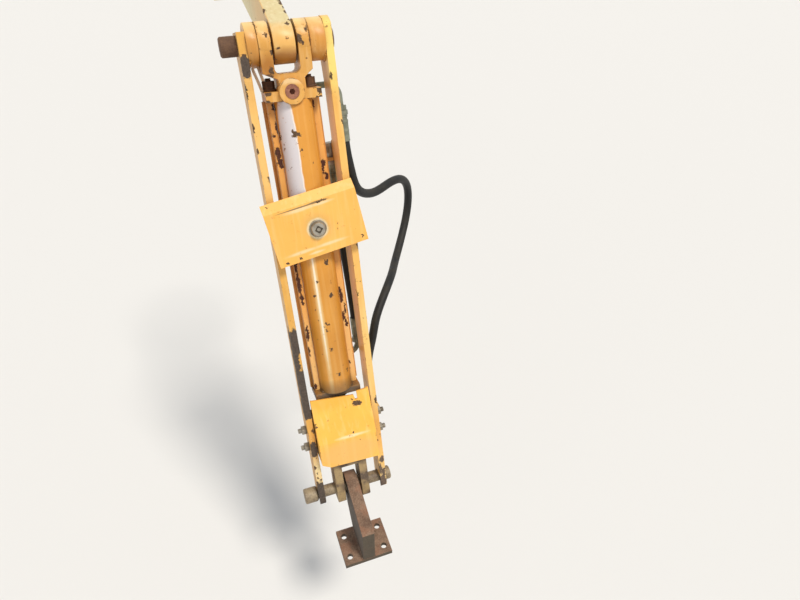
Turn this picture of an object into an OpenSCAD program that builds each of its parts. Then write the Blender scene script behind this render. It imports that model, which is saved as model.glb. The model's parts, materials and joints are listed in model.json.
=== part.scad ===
/* [Hanger] */
// Distance from the mounting face back to the top pin
hanger_reach = 560; // [400:5:700]
// Drop from the flange centre to the top pin
hanger_drop = 75; // [40:5:160]
// Thickness of the hanger arm across the pin
hanger_w = 50; // [36:1:60]
// Outside diameter of the hanger eye
hanger_eye_d = 95; // [85:1:120]
// Height of the hanger arm at the flange
hanger_root_h = 150; // [105:5:190]
// Width and height of the square flange
flange_w = 200; // [180:5:280]
// Thickness of the flange
flange_t = 25; // [16:1:40]
// Spacing of the flange bolts, both ways
flange_pitch = 140; // [120:5:160]
// Diameter of the flange bolt holes
flange_hole_d = 22; // [14:1:26]
// Thickness of the flange gussets
gusset_t = 14; // [8:1:20]

/* [Side plates] */
// Lean of the link to the rear, in degrees
lean = 17; // [0:1:30]
// Distance from the top pin to the lower pin
link_len = 1286; // [1260:1:1500]
// Width of the link over its side plates
link_w = 215; // [200:1:260]
// Thickness of each side plate
plate_t = 18; // [12:1:22]
// Depth of each side plate, front to back
plate_depth = 70; // [60:1:90]
// Outside diameter of the plates' top eyes
plate_eye_d = 98; // [90:1:120]
// Diameter of the top pin
top_pin_d = 45; // [35:1:55]
// How far the top pin stands out on the left
top_pin_out = 38; // [20:1:60]
// Outside diameter of the bosses on the top pin
boss_d = 95; // [85:1:110]

/* [Cylinder] */
// Outside diameter of the barrel
barrel_d = 92; // [80:1:95]
// Bore of the barrel
bore_d = 76; // [60:1:78]
// Length of the barrel
barrel_len = 800; // [700:10:850]
// Diameter of the rod
rod_d = 45; // [35:1:50]
// Width of each tie bar
tie_w = 16; // [12:1:20]
// Depth of each tie bar
tie_depth = 30; // [20:1:40]
// Distance from the top pin to the head's lower face
head_len = 126; // [120:1:140]
// Thickness of each head lug
lug_t = 28; // [24:1:32]
// Diameter of the front port boss
port_boss_d = 58; // [50:1:66]
// Diameter of the plug in the front port
plug_d = 33; // [24:1:40]

/* [Cover] */
// Distance from the top pin to the cover's bolt
cover_at = 431; // [350:1:600]
// Width of the cover
cover_w = 236; // [220:1:260]
// Length of the cover's flat face
cover_len = 140; // [120:1:180]
// Thickness of the cover and guard sheet
sheet_t = 5; // [4:0.5:6]
// How far the cover is turned about its bolt, in degrees
cover_turn = 8.5; // [-10:0.5:10]
// Width of the washer under the cover's bolt
cover_washer_d = 44; // [36:1:50]

/* [Rod guard] */
// Width of the rod guard
guard_w = 172; // [150:1:174]
// Length of the rod guard
guard_len = 222; // [200:1:240]
// Length of its sloping upper part
guard_slope_len = 133; // [100:1:150]
// Height of its flat part in front of the rod's centre
guard_h = 68; // [60:1:80]

/* [Rod end] */
// Diameter of the lower pin
low_pin_d = 36; // [32:1:44]
// Thickness of each clevis cheek
cheek_t = 24; // [16:1:26]
// Thickness of the screed lug
screed_lug_t = 38; // [30:1:44]
// Distance from the lower pin back to the lug's end face
screed_lug_len = 182; // [150:2:260]
// Radius of the screed lug's eye
screed_lug_r = 40; // [34:1:46]
// Slope of the screed lug's upper edge below level, in degrees
screed_lug_fall = 16; // [0:1:30]
// Drop from the lower pin to the lug's foot
screed_lug_drop = 145; // [100:5:220]

/* [Hydraulic lines] */
// Outside diameter of the hose that loops out to the right
loop_hose_d = 25; // [18:1:26]
// Outside diameter of the hose that runs down behind the right plate
line_hose_d = 21; // [16:1:24]
// Wall of the ferrules crimped on the hoses
ferrule_wall = 2.5; // [2:0.5:4]
// Length of each ferrule
ferrule_len = 66; // [60:1:72]
// Diameter of the steel pipes that lead to the ports
pipe_d = 16; // [12:1:20]
// Thickness of the shelves that carry the unions
shelf_t = 8; // [6:1:12]

/* [Hidden] */
$fn = 64;
pin_play = 0.1;
side_play = 1;
seat = 0.3;

plate_out = link_w / 2;
plate_in = plate_out - plate_t;
head_off = -6;
lug_in = hanger_w / 2 + 5;
lug_out = lug_in + lug_t;
left_plate_top = 28;
eye_lip = 3;
barrel_end = head_len + barrel_len;
head_flange_t = 22;
head_half = 66;
head_waist = 31;
head_slot = 66;
slot_r = 12;
head_deep = 36;
head_back = 40;
port_at = 106;
port_boss_out = 52;
tie_bolt_hole_d = 13;
tie_in = barrel_d / 2 + seat;
tie_out = tie_in + tie_w;
tie_front = 0;
tie_back = tie_front + tie_depth;
tie_lip = 8;
tie_lip_t = 6;
gland_len = 46;
gland_flange_t = 20;
gland_flange_front = 24;
clevis_neck = 60;
clevis_len = 170;
clevis_reach = 95;
clevis_top = link_len - clevis_len;
clevis_fork = link_len - clevis_reach;
clevis_r = plate_depth / 2;
clevis_in = screed_lug_t / 2 + 8;
clevis_out = clevis_in + cheek_t;
clevis_end = link_len + 39;
clevis_cut = 10;
slot_w = low_pin_d + 4;
plate_tail = 30;
piston_at = 330;
piston_len = 34;
foot_t = 16;
foot_w = 150;
foot_len = 120;
foot_hole_d = 18;
foot_pitch_x = 110;
foot_pitch_y = 70;
low_pin_y = -hanger_reach - link_len * sin(lean);
low_pin_z = -hanger_drop - link_len * cos(lean);
guard_at = barrel_end + 11;
guard_back = 20;
guard_bolts_at = [110, 170];
guard_bolt_d = 14;
cover_h = plate_depth / 2 + 27;
cover_x = 3;
cover_slack = 1;
rib_slack = 3;
fold_back = 17;
fold_up = 22;
cover_bolt_d = 20;
cover_nut_t = 10;
washer_t = 5;
rib_t = 8;
rib_inset = 18;
bridge_w = 40;
pin_head_d = 47;
pin_head_len = 40;
pin_nut_d = 42;
pin_nut_len = 18;
pin_chamfer = 3;
pin_collar_out = 6;
arm_run = 8;
arm_tuck = 0.7;
gusset_reach = 40;
gusset_rim = 15;
ear_at = 78;
lug_root_at = 62;
ear_t = 10;
throat_at = 70;
plug_seat = 10;
plug_sunk = 8;
plug_key = 14;
plug_key_deep = 12;
tie_bolt_head = 30;
tie_bolt_washer = 34;
tie_bolt_t = 18;
tie_bolt_end = 5;
tie_bolt_x = head_half - tie_bolt_washer / 2;
eye_rise = 6;
eye_foot = 95;
bolt_head_w = 2 * guard_bolt_d;
bolt_head_h = 14;
bolt_end_out = 24;
bolt_nut_t = 10;

// The guard's odd corners, from its right edge in and from its top down
notch_in = 36;
notch_out = 46;
notch_deep = 26;
notch_skew = 12;
foot_cut_x = 24;
foot_cut_z = 20;
foot_skew = 6;
guard_spare = 30;

// Places of the hydraulic lines in the link's frame, measured down from the top pin
rear_port_boss_d = 44;
rear_port_out = 52;
elbow_block = 36;
elbow_r = 30;
nut_len = 12;
rod_port_at = barrel_end - 66;
rod_port_half = 24;
rod_port_w = 20;
loop_top = 250;
loop_bottom = 970;
line_top = 380;
line_bottom = rod_port_at - 110;
line_x = 87;
line_foot_x = 92;
line_y = plate_depth / 2 + 22;
stem_d = 22;
shelf_half = 20;
shelf_leg = 52;
shelf_leg_t = 4;
sides = 12;
loop_axis = [0.6, -0.8, 0];
loop_points = [
  [131, 67, -160], [131, 67, -218], [131, 67, -276], [136, 62, -326], [147, 83, -378], [177, 123, -411],
  [225, 161, -424], [277, 186, -405], [326, 222, -403], [361, 265, -432], [374, 297, -483], [367, 309, -543],
  [342, 293, -597], [313, 262, -638], [281, 220, -670], [256, 166, -677], [226, 114, -687], [190, 82, -724],
  [156, 60, -770], [143, 60, -826], [124, 62, -880], [112, 62, -934], [112, 62, -994], [112, 62, -1054]];
line_route = [
  [line_x, line_y, -272], [line_x, line_y, -332], [line_x, line_y, -392], [86, line_y + 1, -470],
  [87, line_y + 3, -540], [90, line_y + 3, -620], [line_foot_x, line_y, 40 - line_bottom],
  [line_foot_x, line_y, -50 - line_bottom], [line_foot_x, line_y, -90 - line_bottom]];
loop_route = [for (p = loop_points) p + [0, plate_depth / 2 - 35, 0]];
loop_start = loop_route[0];
loop_end = loop_route[len(loop_route) - 1];
loop_shelf_z = -loop_bottom - ferrule_len - 2 * nut_len;
line_shelf_z = -line_top + ferrule_len + 2 * nut_len + shelf_t;

// The link's own frame: x across, -y to the front, -z down the link from the top pin
module on_link() {
  translate([0, -hanger_reach, -hanger_drop])
    rotate([-lean, 0, 0])
      children();
}

// A cylinder along x between two places
module x_cyl(d, x0, x1) {
  translate([x0, 0, 0])
    rotate([0, 90, 0])
      cylinder(d = d, h = x1 - x0);
}

// A pin along x with both its ends chamfered
module x_pin(d, x0, x1) {
  long = x1 - x0;
  rim = d / 2 - pin_chamfer;
  translate([x0, 0, 0])
    rotate([0, 90, 0])
      rotate_extrude()
        polygon([
          [0, 0], [rim, 0], [d / 2, pin_chamfer],
          [d / 2, long - pin_chamfer], [rim, long], [0, long]]);
}

// A profile drawn in y and z, extruded along x
module x_plate(x0, x1) {
  translate([x0, 0, 0])
    rotate([90, 0, 90])
      linear_extrude(x1 - x0)
        children();
}

// A block between two corners
module block(a, b) {
  translate(a)
    cube(b - a);
}

module both_sides() {
  children();
  mirror([1, 0, 0])
    children();
}

module hanger_arm() {
  color("gold")
    translate([head_off, 0, 0])
      difference() {
        union() {
          translate([0, -hanger_reach, -hanger_drop])
            x_cyl(hanger_eye_d, -hanger_w / 2, hanger_w / 2);
          x_plate(-hanger_w / 2, hanger_w / 2)
            polygon([
              [-hanger_reach - arm_run, -hanger_drop + hanger_eye_d / 2 - arm_tuck],
              [-flange_t, hanger_root_h / 2],
              [-flange_t, -hanger_root_h / 2],
              [-hanger_reach + arm_run, -hanger_drop - hanger_eye_d / 2 + arm_tuck]]);
        }
        translate([0, -hanger_reach, -hanger_drop])
          x_cyl(top_pin_d + 2 * pin_play, -hanger_w, hanger_w);
      }
}

module hanger_flange() {
  color("gold")
    difference() {
      block([-flange_w / 2, -flange_t, -flange_w / 2], [flange_w / 2, 0, flange_w / 2]);
      for (x = [-1, 1])
        for (z = [-1, 1])
          translate([x * flange_pitch / 2, 1, z * flange_pitch / 2])
            rotate([90, 0, 0])
              cylinder(d = flange_hole_d, h = flange_t + 2);
    }
}

// A gusset beside the arm, from the arm's side out
module gusset(root) {
  leg = flange_w / 2 - root - 10;
  translate([root, -flange_t, -gusset_t / 2])
    linear_extrude(gusset_t)
      polygon([
        [0, 0], [leg, 0], [leg, -gusset_rim],
        [gusset_rim, -leg - gusset_reach], [0, -leg - gusset_reach]]);
}

module hanger_gussets() {
  color("gold") {
    gusset(hanger_w / 2 + head_off);
    mirror([1, 0, 0])
      gusset(hanger_w / 2 - head_off);
  }
}

module top_pin() {
  color("saddlebrown")
    on_link() {
      x_pin(top_pin_d, -plate_out - top_pin_out, plate_out + pin_collar_out);
      x_cyl(top_pin_d + 6, plate_out + side_play, plate_out + pin_collar_out);
    }
}

// The head's outline seen from the front, in x and z
module head_front() {
  left = head_off - lug_out;
  right = head_off + lug_out;
  difference() {
    union() {
      polygon([
        [left, boss_d / 2], [right, boss_d / 2], [right, -lug_root_at], [head_waist, -ear_at],
        [head_waist, -head_len + ear_t], [-head_waist, -head_len + ear_t], [-head_waist, -ear_at],
        [left, -lug_root_at]]);
      translate([-head_half, -head_len])
        square([2 * head_half, head_flange_t]);
    }
    translate([head_off - lug_in, -head_slot + slot_r])
      square([2 * lug_in, boss_d + head_slot]);
    translate([head_off - lug_in + slot_r, -head_slot])
      square([2 * lug_in - 2 * slot_r, 2 * slot_r]);
    for (side = [-1, 1])
      translate([head_off + side * (lug_in - slot_r), -head_slot + slot_r])
        circle(r = slot_r);
  }
}

// The head's outline seen from the side, in y and z
module head_side() {
  circle(d = boss_d);
  polygon([
    [-boss_d / 2, 0], [boss_d / 2, 0], [head_back, -throat_at], [head_back, -head_len],
    [-head_deep, -head_len], [-head_deep, -throat_at]]);
}

module cylinder_head() {
  color("gold")
    on_link()
      difference() {
        union() {
          intersection() {
            translate([0, 100, 0])
              rotate([90, 0, 0])
                linear_extrude(200)
                  head_front();
            x_plate(-head_half - 1, head_half + 1)
              head_side();
          }
          translate([head_off, 0, -port_at])
            rotate([90, 0, 0])
              cylinder(d = port_boss_d, h = port_boss_out);
          translate([0, 0, -port_at])
            rotate([-90, 0, 0])
              cylinder(d = rear_port_boss_d, h = rear_port_out);
        }
        x_cyl(top_pin_d + 2 * pin_play, head_off - lug_out - 1, head_off + lug_out + 1);
        translate([0, 0, -head_len - port_boss_d])
          cylinder(d = barrel_d + 2 * seat, h = port_boss_d);
        translate([head_off, -plug_seat, -port_at])
          rotate([90, 0, 0])
            cylinder(d = plug_d, h = port_boss_out);
        at_tie_bolts(-head_len - 1)
          cylinder(d = tie_bolt_hole_d, h = head_flange_t + 2);
      }
}

module at_tie_bolts(z) {
  both_sides()
    translate([tie_bolt_x, (tie_front + tie_back) / 2, z])
      children();
}

module port_plug() {
  color("saddlebrown")
    on_link()
      translate([head_off, -plug_seat, -port_at])
        rotate([90, 0, 0])
          difference() {
            cylinder(d = plug_d, h = port_boss_out - plug_sunk);
            translate([0, 0, port_boss_out - plug_sunk - plug_key_deep])
              cylinder(d = plug_key, h = plug_key_deep + 1, $fn = 6);
          }
}

module head_bolts() {
  color("dimgray")
    on_link()
      at_tie_bolts(-head_len + head_flange_t) {
        cylinder(d = tie_bolt_washer, h = washer_t);
        translate([0, 0, washer_t])
          cylinder(d = tie_bolt_head, h = tie_bolt_t, $fn = 6);
        translate([0, 0, -head_flange_t])
          cylinder(d = tie_bolt_hole_d - 1, h = head_flange_t + washer_t + tie_bolt_t + tie_bolt_end);
      }
}

module barrel() {
  color("orange")
    on_link()
      difference() {
        union() {
          translate([0, 0, -barrel_end])
            cylinder(d = barrel_d, h = barrel_len);
          block([-rod_port_w, 0, -rod_port_at - rod_port_half],
            [rod_port_w, line_y + rod_port_w, -rod_port_at + rod_port_half]);
        }
        translate([0, 0, -barrel_end - 1])
          cylinder(d = bore_d, h = barrel_len + 2);
      }
}

module tie_bars() {
  color("orange")
    on_link()
      both_sides()
        union() {
          block([tie_in, tie_front, -barrel_end], [tie_out, tie_back, -head_len]);
          block([tie_out - 1, tie_back - tie_lip_t, -barrel_end], [tie_out + tie_lip, tie_back, -head_len]);
        }
}

module gland() {
  color("silver")
    on_link()
      translate([0, 0, -barrel_end])
        difference() {
          cylinder(d = bore_d - 2 * pin_play, h = gland_len);
          translate([0, 0, -1])
            cylinder(d = rod_d + 2 * pin_play, h = gland_len + 2);
        }
}

module gland_flange() {
  color("orange")
    on_link()
      difference() {
        block([-head_half, -gland_flange_front, -barrel_end - gland_flange_t],
          [head_half, barrel_d / 2, -barrel_end]);
        translate([0, 0, -barrel_end - gland_flange_t - 1])
          cylinder(d = rod_d + 2, h = gland_flange_t + 2);
      }
}

module side_plate() {
  half = plate_depth / 2;
  difference() {
    union() {
      x_cyl(plate_eye_d, plate_in, plate_out);
      x_plate(plate_in, plate_out)
        polygon([
          [-plate_eye_d / 2, -eye_rise], [-half, -eye_foot], [-half, -link_len],
          [half, -link_len], [half, -eye_foot], [plate_eye_d / 2, -eye_rise]]);
      translate([0, 0, -link_len])
        x_cyl(plate_depth, plate_in, plate_out);
    }
    x_cyl(top_pin_d + 2 * pin_play, plate_in - 1, plate_out + 1);
    for (z = guard_bolts_at)
      translate([0, 0, -guard_at - z])
        x_cyl(guard_bolt_d + 1, plate_in - 1, plate_out + 1);
    translate([0, 0, -link_len])
      x_cyl(slot_w, plate_in - 1, plate_out + 1);
    block([plate_in - 1, -slot_w / 2, -link_len - half - 5], [plate_out + 1, slot_w / 2, -link_len]);
    block([plate_in - 1, -half - 1, -link_len - half - 5], [plate_out + 1, half + 1, -link_len - plate_tail]);
    block([plate_in - 1, -plate_eye_d, -eye_foot], [plate_out + 1, -half - eye_lip, plate_eye_d]);
  }
}

module side_plate_right() {
  color("gold")
    on_link()
      side_plate();
}

module side_plate_left() {
  color("gold")
    on_link()
      difference() {
        mirror([1, 0, 0])
          side_plate();
        block([-plate_out - 1, -plate_eye_d, left_plate_top], [-plate_in + 1, plate_eye_d, plate_eye_d]);
      }
}

// A boss on the top pin, from one lug's outer face to its plate
module boss(lug_face) {
  difference() {
    x_cyl(boss_d, lug_face + side_play, plate_in);
    x_cyl(top_pin_d + 2 * pin_play, lug_face, plate_in + 1);
  }
}

module boss_right() {
  color("gold")
    on_link()
      boss(lug_out + head_off);
}

module boss_left() {
  color("gold")
    on_link()
      mirror([1, 0, 0])
        boss(lug_out - head_off);
}

module on_cover() {
  on_link()
    translate([cover_x, 0, -cover_at])
      rotate([0, -cover_turn, 0])
        children();
}

// The barrel's room through the cover's pieces, in line with the link
module barrel_way(slack) {
  rotate([0, cover_turn, 0])
    translate([-cover_x, 0, 0])
      cylinder(d = barrel_d + 2 * slack, h = 2 * cover_len, center = true);
}

module cover_plate() {
  face = -cover_h - sheet_t;
  color("gold")
    on_cover()
      difference() {
        x_plate(-cover_w / 2, cover_w / 2)
          polygon([
            [face, -cover_len / 2],
            [face, cover_len / 2],
            [face + fold_back, cover_len / 2 + fold_up],
            [-cover_h + fold_back - 1, cover_len / 2 + fold_up - sheet_t + 1],
            [-cover_h, cover_len / 2 - sheet_t / 2],
            [-cover_h, -cover_len / 2]]);
        rotate([90, 0, 0])
          cylinder(d = cover_bolt_d + 1, h = 2 * cover_h);
        barrel_way(cover_slack);
      }
}

module arch_rib(z, t) {
  difference() {
    block([-plate_out, -cover_h, z - t / 2], [plate_out, -plate_depth / 2, z + t / 2]);
    barrel_way(rib_slack);
  }
}

module cover_ribs() {
  color("gold")
    on_cover()
      for (z = [-cover_len / 2 + rib_inset, cover_len / 2 - rib_inset])
        arch_rib(z, rib_t);
}

module cover_bridge() {
  color("gold")
    on_cover()
      difference() {
        arch_rib(0, bridge_w);
        rotate([90, 0, 0])
          cylinder(d = cover_bolt_d, h = 2 * cover_h);
      }
}

module cover_bolt() {
  color("silver")
    on_cover()
      rotate([90, 0, 0])
        difference() {
          union() {
            translate([0, 0, barrel_d / 2 + rib_slack + seat])
              cylinder(d = cover_bolt_d - 2 * pin_play, h = cover_h + sheet_t - barrel_d / 2);
            translate([0, 0, cover_h + sheet_t])
              cylinder(d = cover_washer_d, h = washer_t);
            translate([0, 0, cover_h + sheet_t + washer_t])
              cylinder(d1 = cover_washer_d - 6, d2 = cover_washer_d - 10, h = cover_nut_t);
          }
          translate([0, 0, cover_h + sheet_t + washer_t + cover_nut_t])
            cube([15, 15, cover_nut_t], center = true);
        }
}

// The guard's bent section in y and z
module guard_section() {
  top = -guard_at;
  front = plate_depth / 2 - 2;
  throat = -gland_flange_front - 3;
  polygon([
    [-front, top], [-guard_h, top - guard_slope_len], [-guard_h, top - guard_len - guard_spare],
    [guard_back, top - guard_len - guard_spare], [guard_back, top - 2 * guard_spare],
    [throat, top - guard_spare], [throat, top]]);
}

// The room behind its face and between its sides, open at the back and at both ends
module guard_room() {
  top = -guard_at;
  front = plate_depth / 2 - 2;
  polygon([
    [-front + sheet_t, top + 1], [-guard_h + sheet_t, top - guard_slope_len],
    [-guard_h + sheet_t, top - guard_len - guard_spare], [guard_back + 1, top - guard_len - guard_spare],
    [guard_back + 1, top + 1]]);
}

// The guard's outline seen from the front, with its askew ends, a notch and a cut corner
module guard_outline() {
  half = guard_w / 2;
  top = -guard_at;
  polygon([
    [-half, top], [half - notch_out, top - notch_skew], [half - notch_out + 3, top - notch_deep],
    [half - notch_in, top - notch_deep], [half - notch_in, top - 4], [half, top - 1], [half, top - guard_len],
    [-half + foot_cut_x, top - guard_len + foot_skew], [-half, top - guard_len + foot_cut_z]]);
}

module rod_guard() {
  half = guard_w / 2;
  color("gold")
    on_link()
      difference() {
        intersection() {
          x_plate(-half, half)
            guard_section();
          translate([0, 100, 0])
            rotate([90, 0, 0])
              linear_extrude(200)
                guard_outline();
        }
        x_plate(-half + sheet_t, half - sheet_t)
          guard_room();
        at_guard_bolts()
          x_cyl(guard_bolt_d + 1, 0, plate_in);
      }
}

module at_guard_bolts() {
  both_sides()
    for (z = guard_bolts_at)
      translate([0, 0, -guard_at - z])
        children();
}

module guard_bolts() {
  color("silver")
    on_link()
      at_guard_bolts() {
        x_cyl(guard_bolt_d, guard_w / 2 - sheet_t - bolt_nut_t - 2, plate_out + bolt_end_out);
        x_cyl(bolt_head_w, guard_w / 2 - sheet_t - bolt_nut_t, guard_w / 2 - sheet_t - seat, $fn = 6);
        x_cyl(bolt_head_w, guard_w / 2 + seat, plate_in - seat);
        x_cyl(bolt_head_w, plate_out + seat, plate_out + bolt_head_h, $fn = 6);
      }
}

// A crimped ferrule along z: open at z = 0, with its hexagon at the far end
module ferrule(d) {
  difference() {
    union() {
      cylinder(d = d + 2 * ferrule_wall, h = ferrule_len);
      translate([0, 0, ferrule_len])
        cylinder(d = d + 10, h = nut_len, $fn = 6);
    }
    translate([0, 0, -1])
      cylinder(d = d + 2 * seat, h = ferrule_len - 9);
  }
}

// A quarter bend in the x-z plane, from +x round to +z
module pipe_bend(r) {
  rotate([90, 0, 0])
    rotate_extrude(angle = 90)
      translate([r, 0])
        circle(d = pipe_d);
}

// From the head's rear port, to the right and down to the loop hose
module top_elbow() {
  turn_x = loop_start[0] - elbow_r;
  nut_z = -loop_top + ferrule_len + nut_len;
  color("darkgray")
    on_link()
      union() {
        block([-elbow_block / 2, rear_port_out, -port_at - elbow_block / 2],
          [elbow_block / 2, 2 * loop_start[1] - rear_port_out, -port_at + elbow_block / 2]);
        translate([0, loop_start[1], -port_at]) {
          x_cyl(pipe_d, 0, turn_x);
          x_cyl(pipe_d + 10, 0, elbow_block / 2 + nut_len);
        }
        translate([turn_x, loop_start[1], -port_at - elbow_r])
          pipe_bend(elbow_r);
        translate([loop_start[0], loop_start[1], nut_z]) {
          cylinder(d = pipe_d, h = -port_at - elbow_r - nut_z);
          cylinder(d = pipe_d + 14, h = nut_len, $fn = 6);
        }
      }
}

module loop_ferrules() {
  color("darkgray")
    on_link() {
      translate([loop_start[0], loop_start[1], -loop_top])
        ferrule(loop_hose_d);
      translate([loop_end[0], loop_end[1], -loop_bottom])
        rotate([180, 0, 0])
          ferrule(loop_hose_d);
    }
}

// From the port at the barrel's foot, to the right and up to the straight hose
module port_elbow() {
  turn_x = line_foot_x - elbow_r;
  nut_z = -line_bottom - ferrule_len - nut_len;
  color("darkgray")
    on_link()
      union() {
        translate([0, line_y, -rod_port_at]) {
          x_cyl(pipe_d, rod_port_w, turn_x);
          x_cyl(pipe_d + 10, rod_port_w, rod_port_w + nut_len);
        }
        translate([turn_x, line_y, -rod_port_at + elbow_r])
          mirror([0, 0, 1])
            pipe_bend(elbow_r);
        translate([line_foot_x, line_y, -rod_port_at + elbow_r])
          cylinder(d = pipe_d, h = nut_z + rod_port_at - elbow_r);
      }
}

module line_ferrules() {
  color("darkgray")
    on_link() {
      translate([line_x, line_y, -line_top])
        ferrule(line_hose_d);
      translate([line_foot_x, line_y, -line_bottom])
        rotate([180, 0, 0])
          ferrule(line_hose_d);
    }
}

// A place on the smooth curve that the route's points pull
function route_at(p, u) =
  let (i = max(0, min(floor(u), len(p) - 4)), t = u - i)
    ((1 - t) ^ 3 * p[i] + (3 * t ^ 3 - 6 * t ^ 2 + 4) * p[i + 1]
      + (-3 * t ^ 3 + 3 * t ^ 2 + 3 * t + 1) * p[i + 2] + t ^ 3 * p[i + 3]) / 6;

function unit(v) = v / norm(v);

module hose(route, d) {
  steps = 3 * (len(route) - 3);
  places = [for (k = [0:steps]) route_at(route, k / 3)];
  ways = [for (k = [0:steps]) unit(route_at(route, k / 3 + 0.05) - route_at(route, k / 3 - 0.05))];
  skin = [for (k = [0:steps], a = [0:sides - 1])
    let (n = unit(cross(ways[k], loop_axis)), b = cross(ways[k], n), turn = a * 360 / sides)
      places[k] + d / 2 * (cos(turn) * n + sin(turn) * b)];
  walls = [for (k = [0:steps - 1], a = [0:sides - 1])
    let (next = (a + 1) % sides)
      [k * sides + a, k * sides + next, (k + 1) * sides + next, (k + 1) * sides + a]];
  top = [for (a = [0:sides - 1]) sides - 1 - a];
  foot = [for (a = [0:sides - 1]) steps * sides + a];
  polyhedron(skin, concat(walls, [top], [foot]));
}

module loop_hose() {
  color("dimgray")
    on_link()
      hose(loop_route, loop_hose_d);
}

module line_hose() {
  color("dimgray")
    on_link()
      hose(line_route, line_hose_d);
}

// A shelf on the right plate's rear edge, with a leg down or up the edge from its lower face
module union_shelf(x, y, z, leg_foot) {
  back = plate_depth / 2 + seat;
  difference() {
    union() {
      block([min(plate_in, x - shelf_half), back, z - shelf_t],
        [max(plate_out, x + shelf_half), y + shelf_half, z]);
      block([plate_in, back, z - shelf_t + leg_foot],
        [plate_out, back + shelf_leg_t, z - shelf_t + leg_foot + shelf_leg]);
    }
    translate([x, y, z - shelf_t - 1])
      cylinder(d = stem_d + 1, h = shelf_t + 2);
  }
}

module union_shelves() {
  color("gold")
    on_link() {
      union_shelf(loop_end[0], loop_end[1], loop_shelf_z, shelf_t - shelf_leg);
      union_shelf(line_x, line_y, line_shelf_z, 0);
    }
}

// A union through its shelf along z: collar over the shelf's top, nut and cap below
module bulkhead_union(d) {
  cylinder(d = d + 12, h = nut_len, $fn = 6);
  translate([0, 0, -shelf_t - 2 * nut_len])
    cylinder(d = stem_d, h = shelf_t + 2 * nut_len + 1);
  translate([0, 0, -shelf_t - nut_len])
    cylinder(d = d + 12, h = nut_len, $fn = 6);
  translate([0, 0, -shelf_t - 3 * nut_len])
    cylinder(d = stem_d + 8, h = 2 * nut_len);
}

module bulkhead_unions() {
  color("silver")
    on_link() {
      translate([loop_end[0], loop_end[1], loop_shelf_z])
        bulkhead_union(loop_hose_d);
      translate([line_x, line_y, line_shelf_z - shelf_t])
        rotate([180, 0, 0])
          bulkhead_union(line_hose_d);
    }
}

module rod() {
  color("silver")
    on_link() {
      translate([0, 0, -clevis_top])
        cylinder(d = rod_d, h = clevis_top - piston_at);
      translate([0, 0, -piston_at - piston_len])
        cylinder(d = bore_d - 2 * pin_play, h = piston_len);
    }
}

module clevis() {
  color("peru")
    on_link()
      difference() {
        union() {
          translate([0, 0, -clevis_top - clevis_neck + 1])
            cylinder(d = clevis_neck, h = clevis_neck - 1);
          x_plate(-clevis_out, clevis_out)
            polygon([
              [-clevis_r, -clevis_top - clevis_neck / 2], [clevis_r, -clevis_top - clevis_neck / 2],
              [clevis_r, clevis_cut - clevis_end], [clevis_r - clevis_cut, -clevis_end],
              [clevis_cut - clevis_r, -clevis_end], [-clevis_r, clevis_cut - clevis_end]]);
        }
        block([-clevis_in, -plate_depth, -link_len - plate_depth], [clevis_in, plate_depth, -clevis_fork]);
        translate([0, 0, -link_len])
          x_cyl(low_pin_d + 2 * pin_play, -clevis_out - 1, clevis_out + 1);
      }
}

module lower_pin() {
  color("rosybrown")
    on_link()
      translate([0, 0, -link_len]) {
        x_cyl(low_pin_d, -plate_out - 2 * side_play, plate_out + 2 * side_play);
        x_pin(pin_head_d, -plate_out - 2 * side_play - pin_head_len, -plate_out - 2 * side_play);
        x_pin(pin_nut_d, plate_out + 2 * side_play, plate_out + 2 * side_play + pin_nut_len);
      }
}

module on_low_pin() {
  translate([0, low_pin_y, low_pin_z])
    children();
}

module screed_lug() {
  rise = screed_lug_r * cos(screed_lug_fall);
  lead = screed_lug_r * sin(screed_lug_fall);
  end_z = rise - (screed_lug_len - lead) * tan(screed_lug_fall);
  color("sienna")
    on_low_pin()
      difference() {
        x_plate(-screed_lug_t / 2, screed_lug_t / 2)
          union() {
            circle(r = screed_lug_r);
            polygon([
              [-lead, rise],
              [-screed_lug_len, end_z],
              [-screed_lug_len, -screed_lug_drop],
              [-screed_lug_len + foot_len, -screed_lug_drop],
              [screed_lug_r - 1.5, -10]]);
          }
        x_cyl(low_pin_d + 2 * pin_play, -50, 50);
      }
}

module lug_foot() {
  color("dimgray")
    on_low_pin()
      translate([0, -screed_lug_len + foot_len / 2, -screed_lug_drop - foot_t])
        difference() {
          block([-foot_w / 2, -foot_len / 2, 0], [foot_w / 2, foot_len / 2, foot_t]);
          for (x = [-1, 1])
            for (y = [-1, 1])
              translate([x * foot_pitch_x / 2, y * foot_pitch_y / 2, -1])
                cylinder(d = foot_hole_d, h = foot_t + 2);
        }
}

hanger_arm();
hanger_flange();
hanger_gussets();
top_pin();
cylinder_head();
port_plug();
head_bolts();
barrel();
tie_bars();
gland();
gland_flange();
side_plate_left();
side_plate_right();
boss_left();
boss_right();
cover_plate();
cover_ribs();
cover_bridge();
cover_bolt();
rod_guard();
guard_bolts();
top_elbow();
loop_ferrules();
loop_hose();
port_elbow();
line_ferrules();
line_hose();
union_shelves();
bulkhead_unions();
rod();
clevis();
lower_pin();
screed_lug();
lug_foot();
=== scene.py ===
"""Looks for a screed lift cylinder: worn yellow enamel, rusted and plated steel, hoses in crimped ferrules,
weld beads, threads and other small pieces, and a plain studio."""

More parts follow.
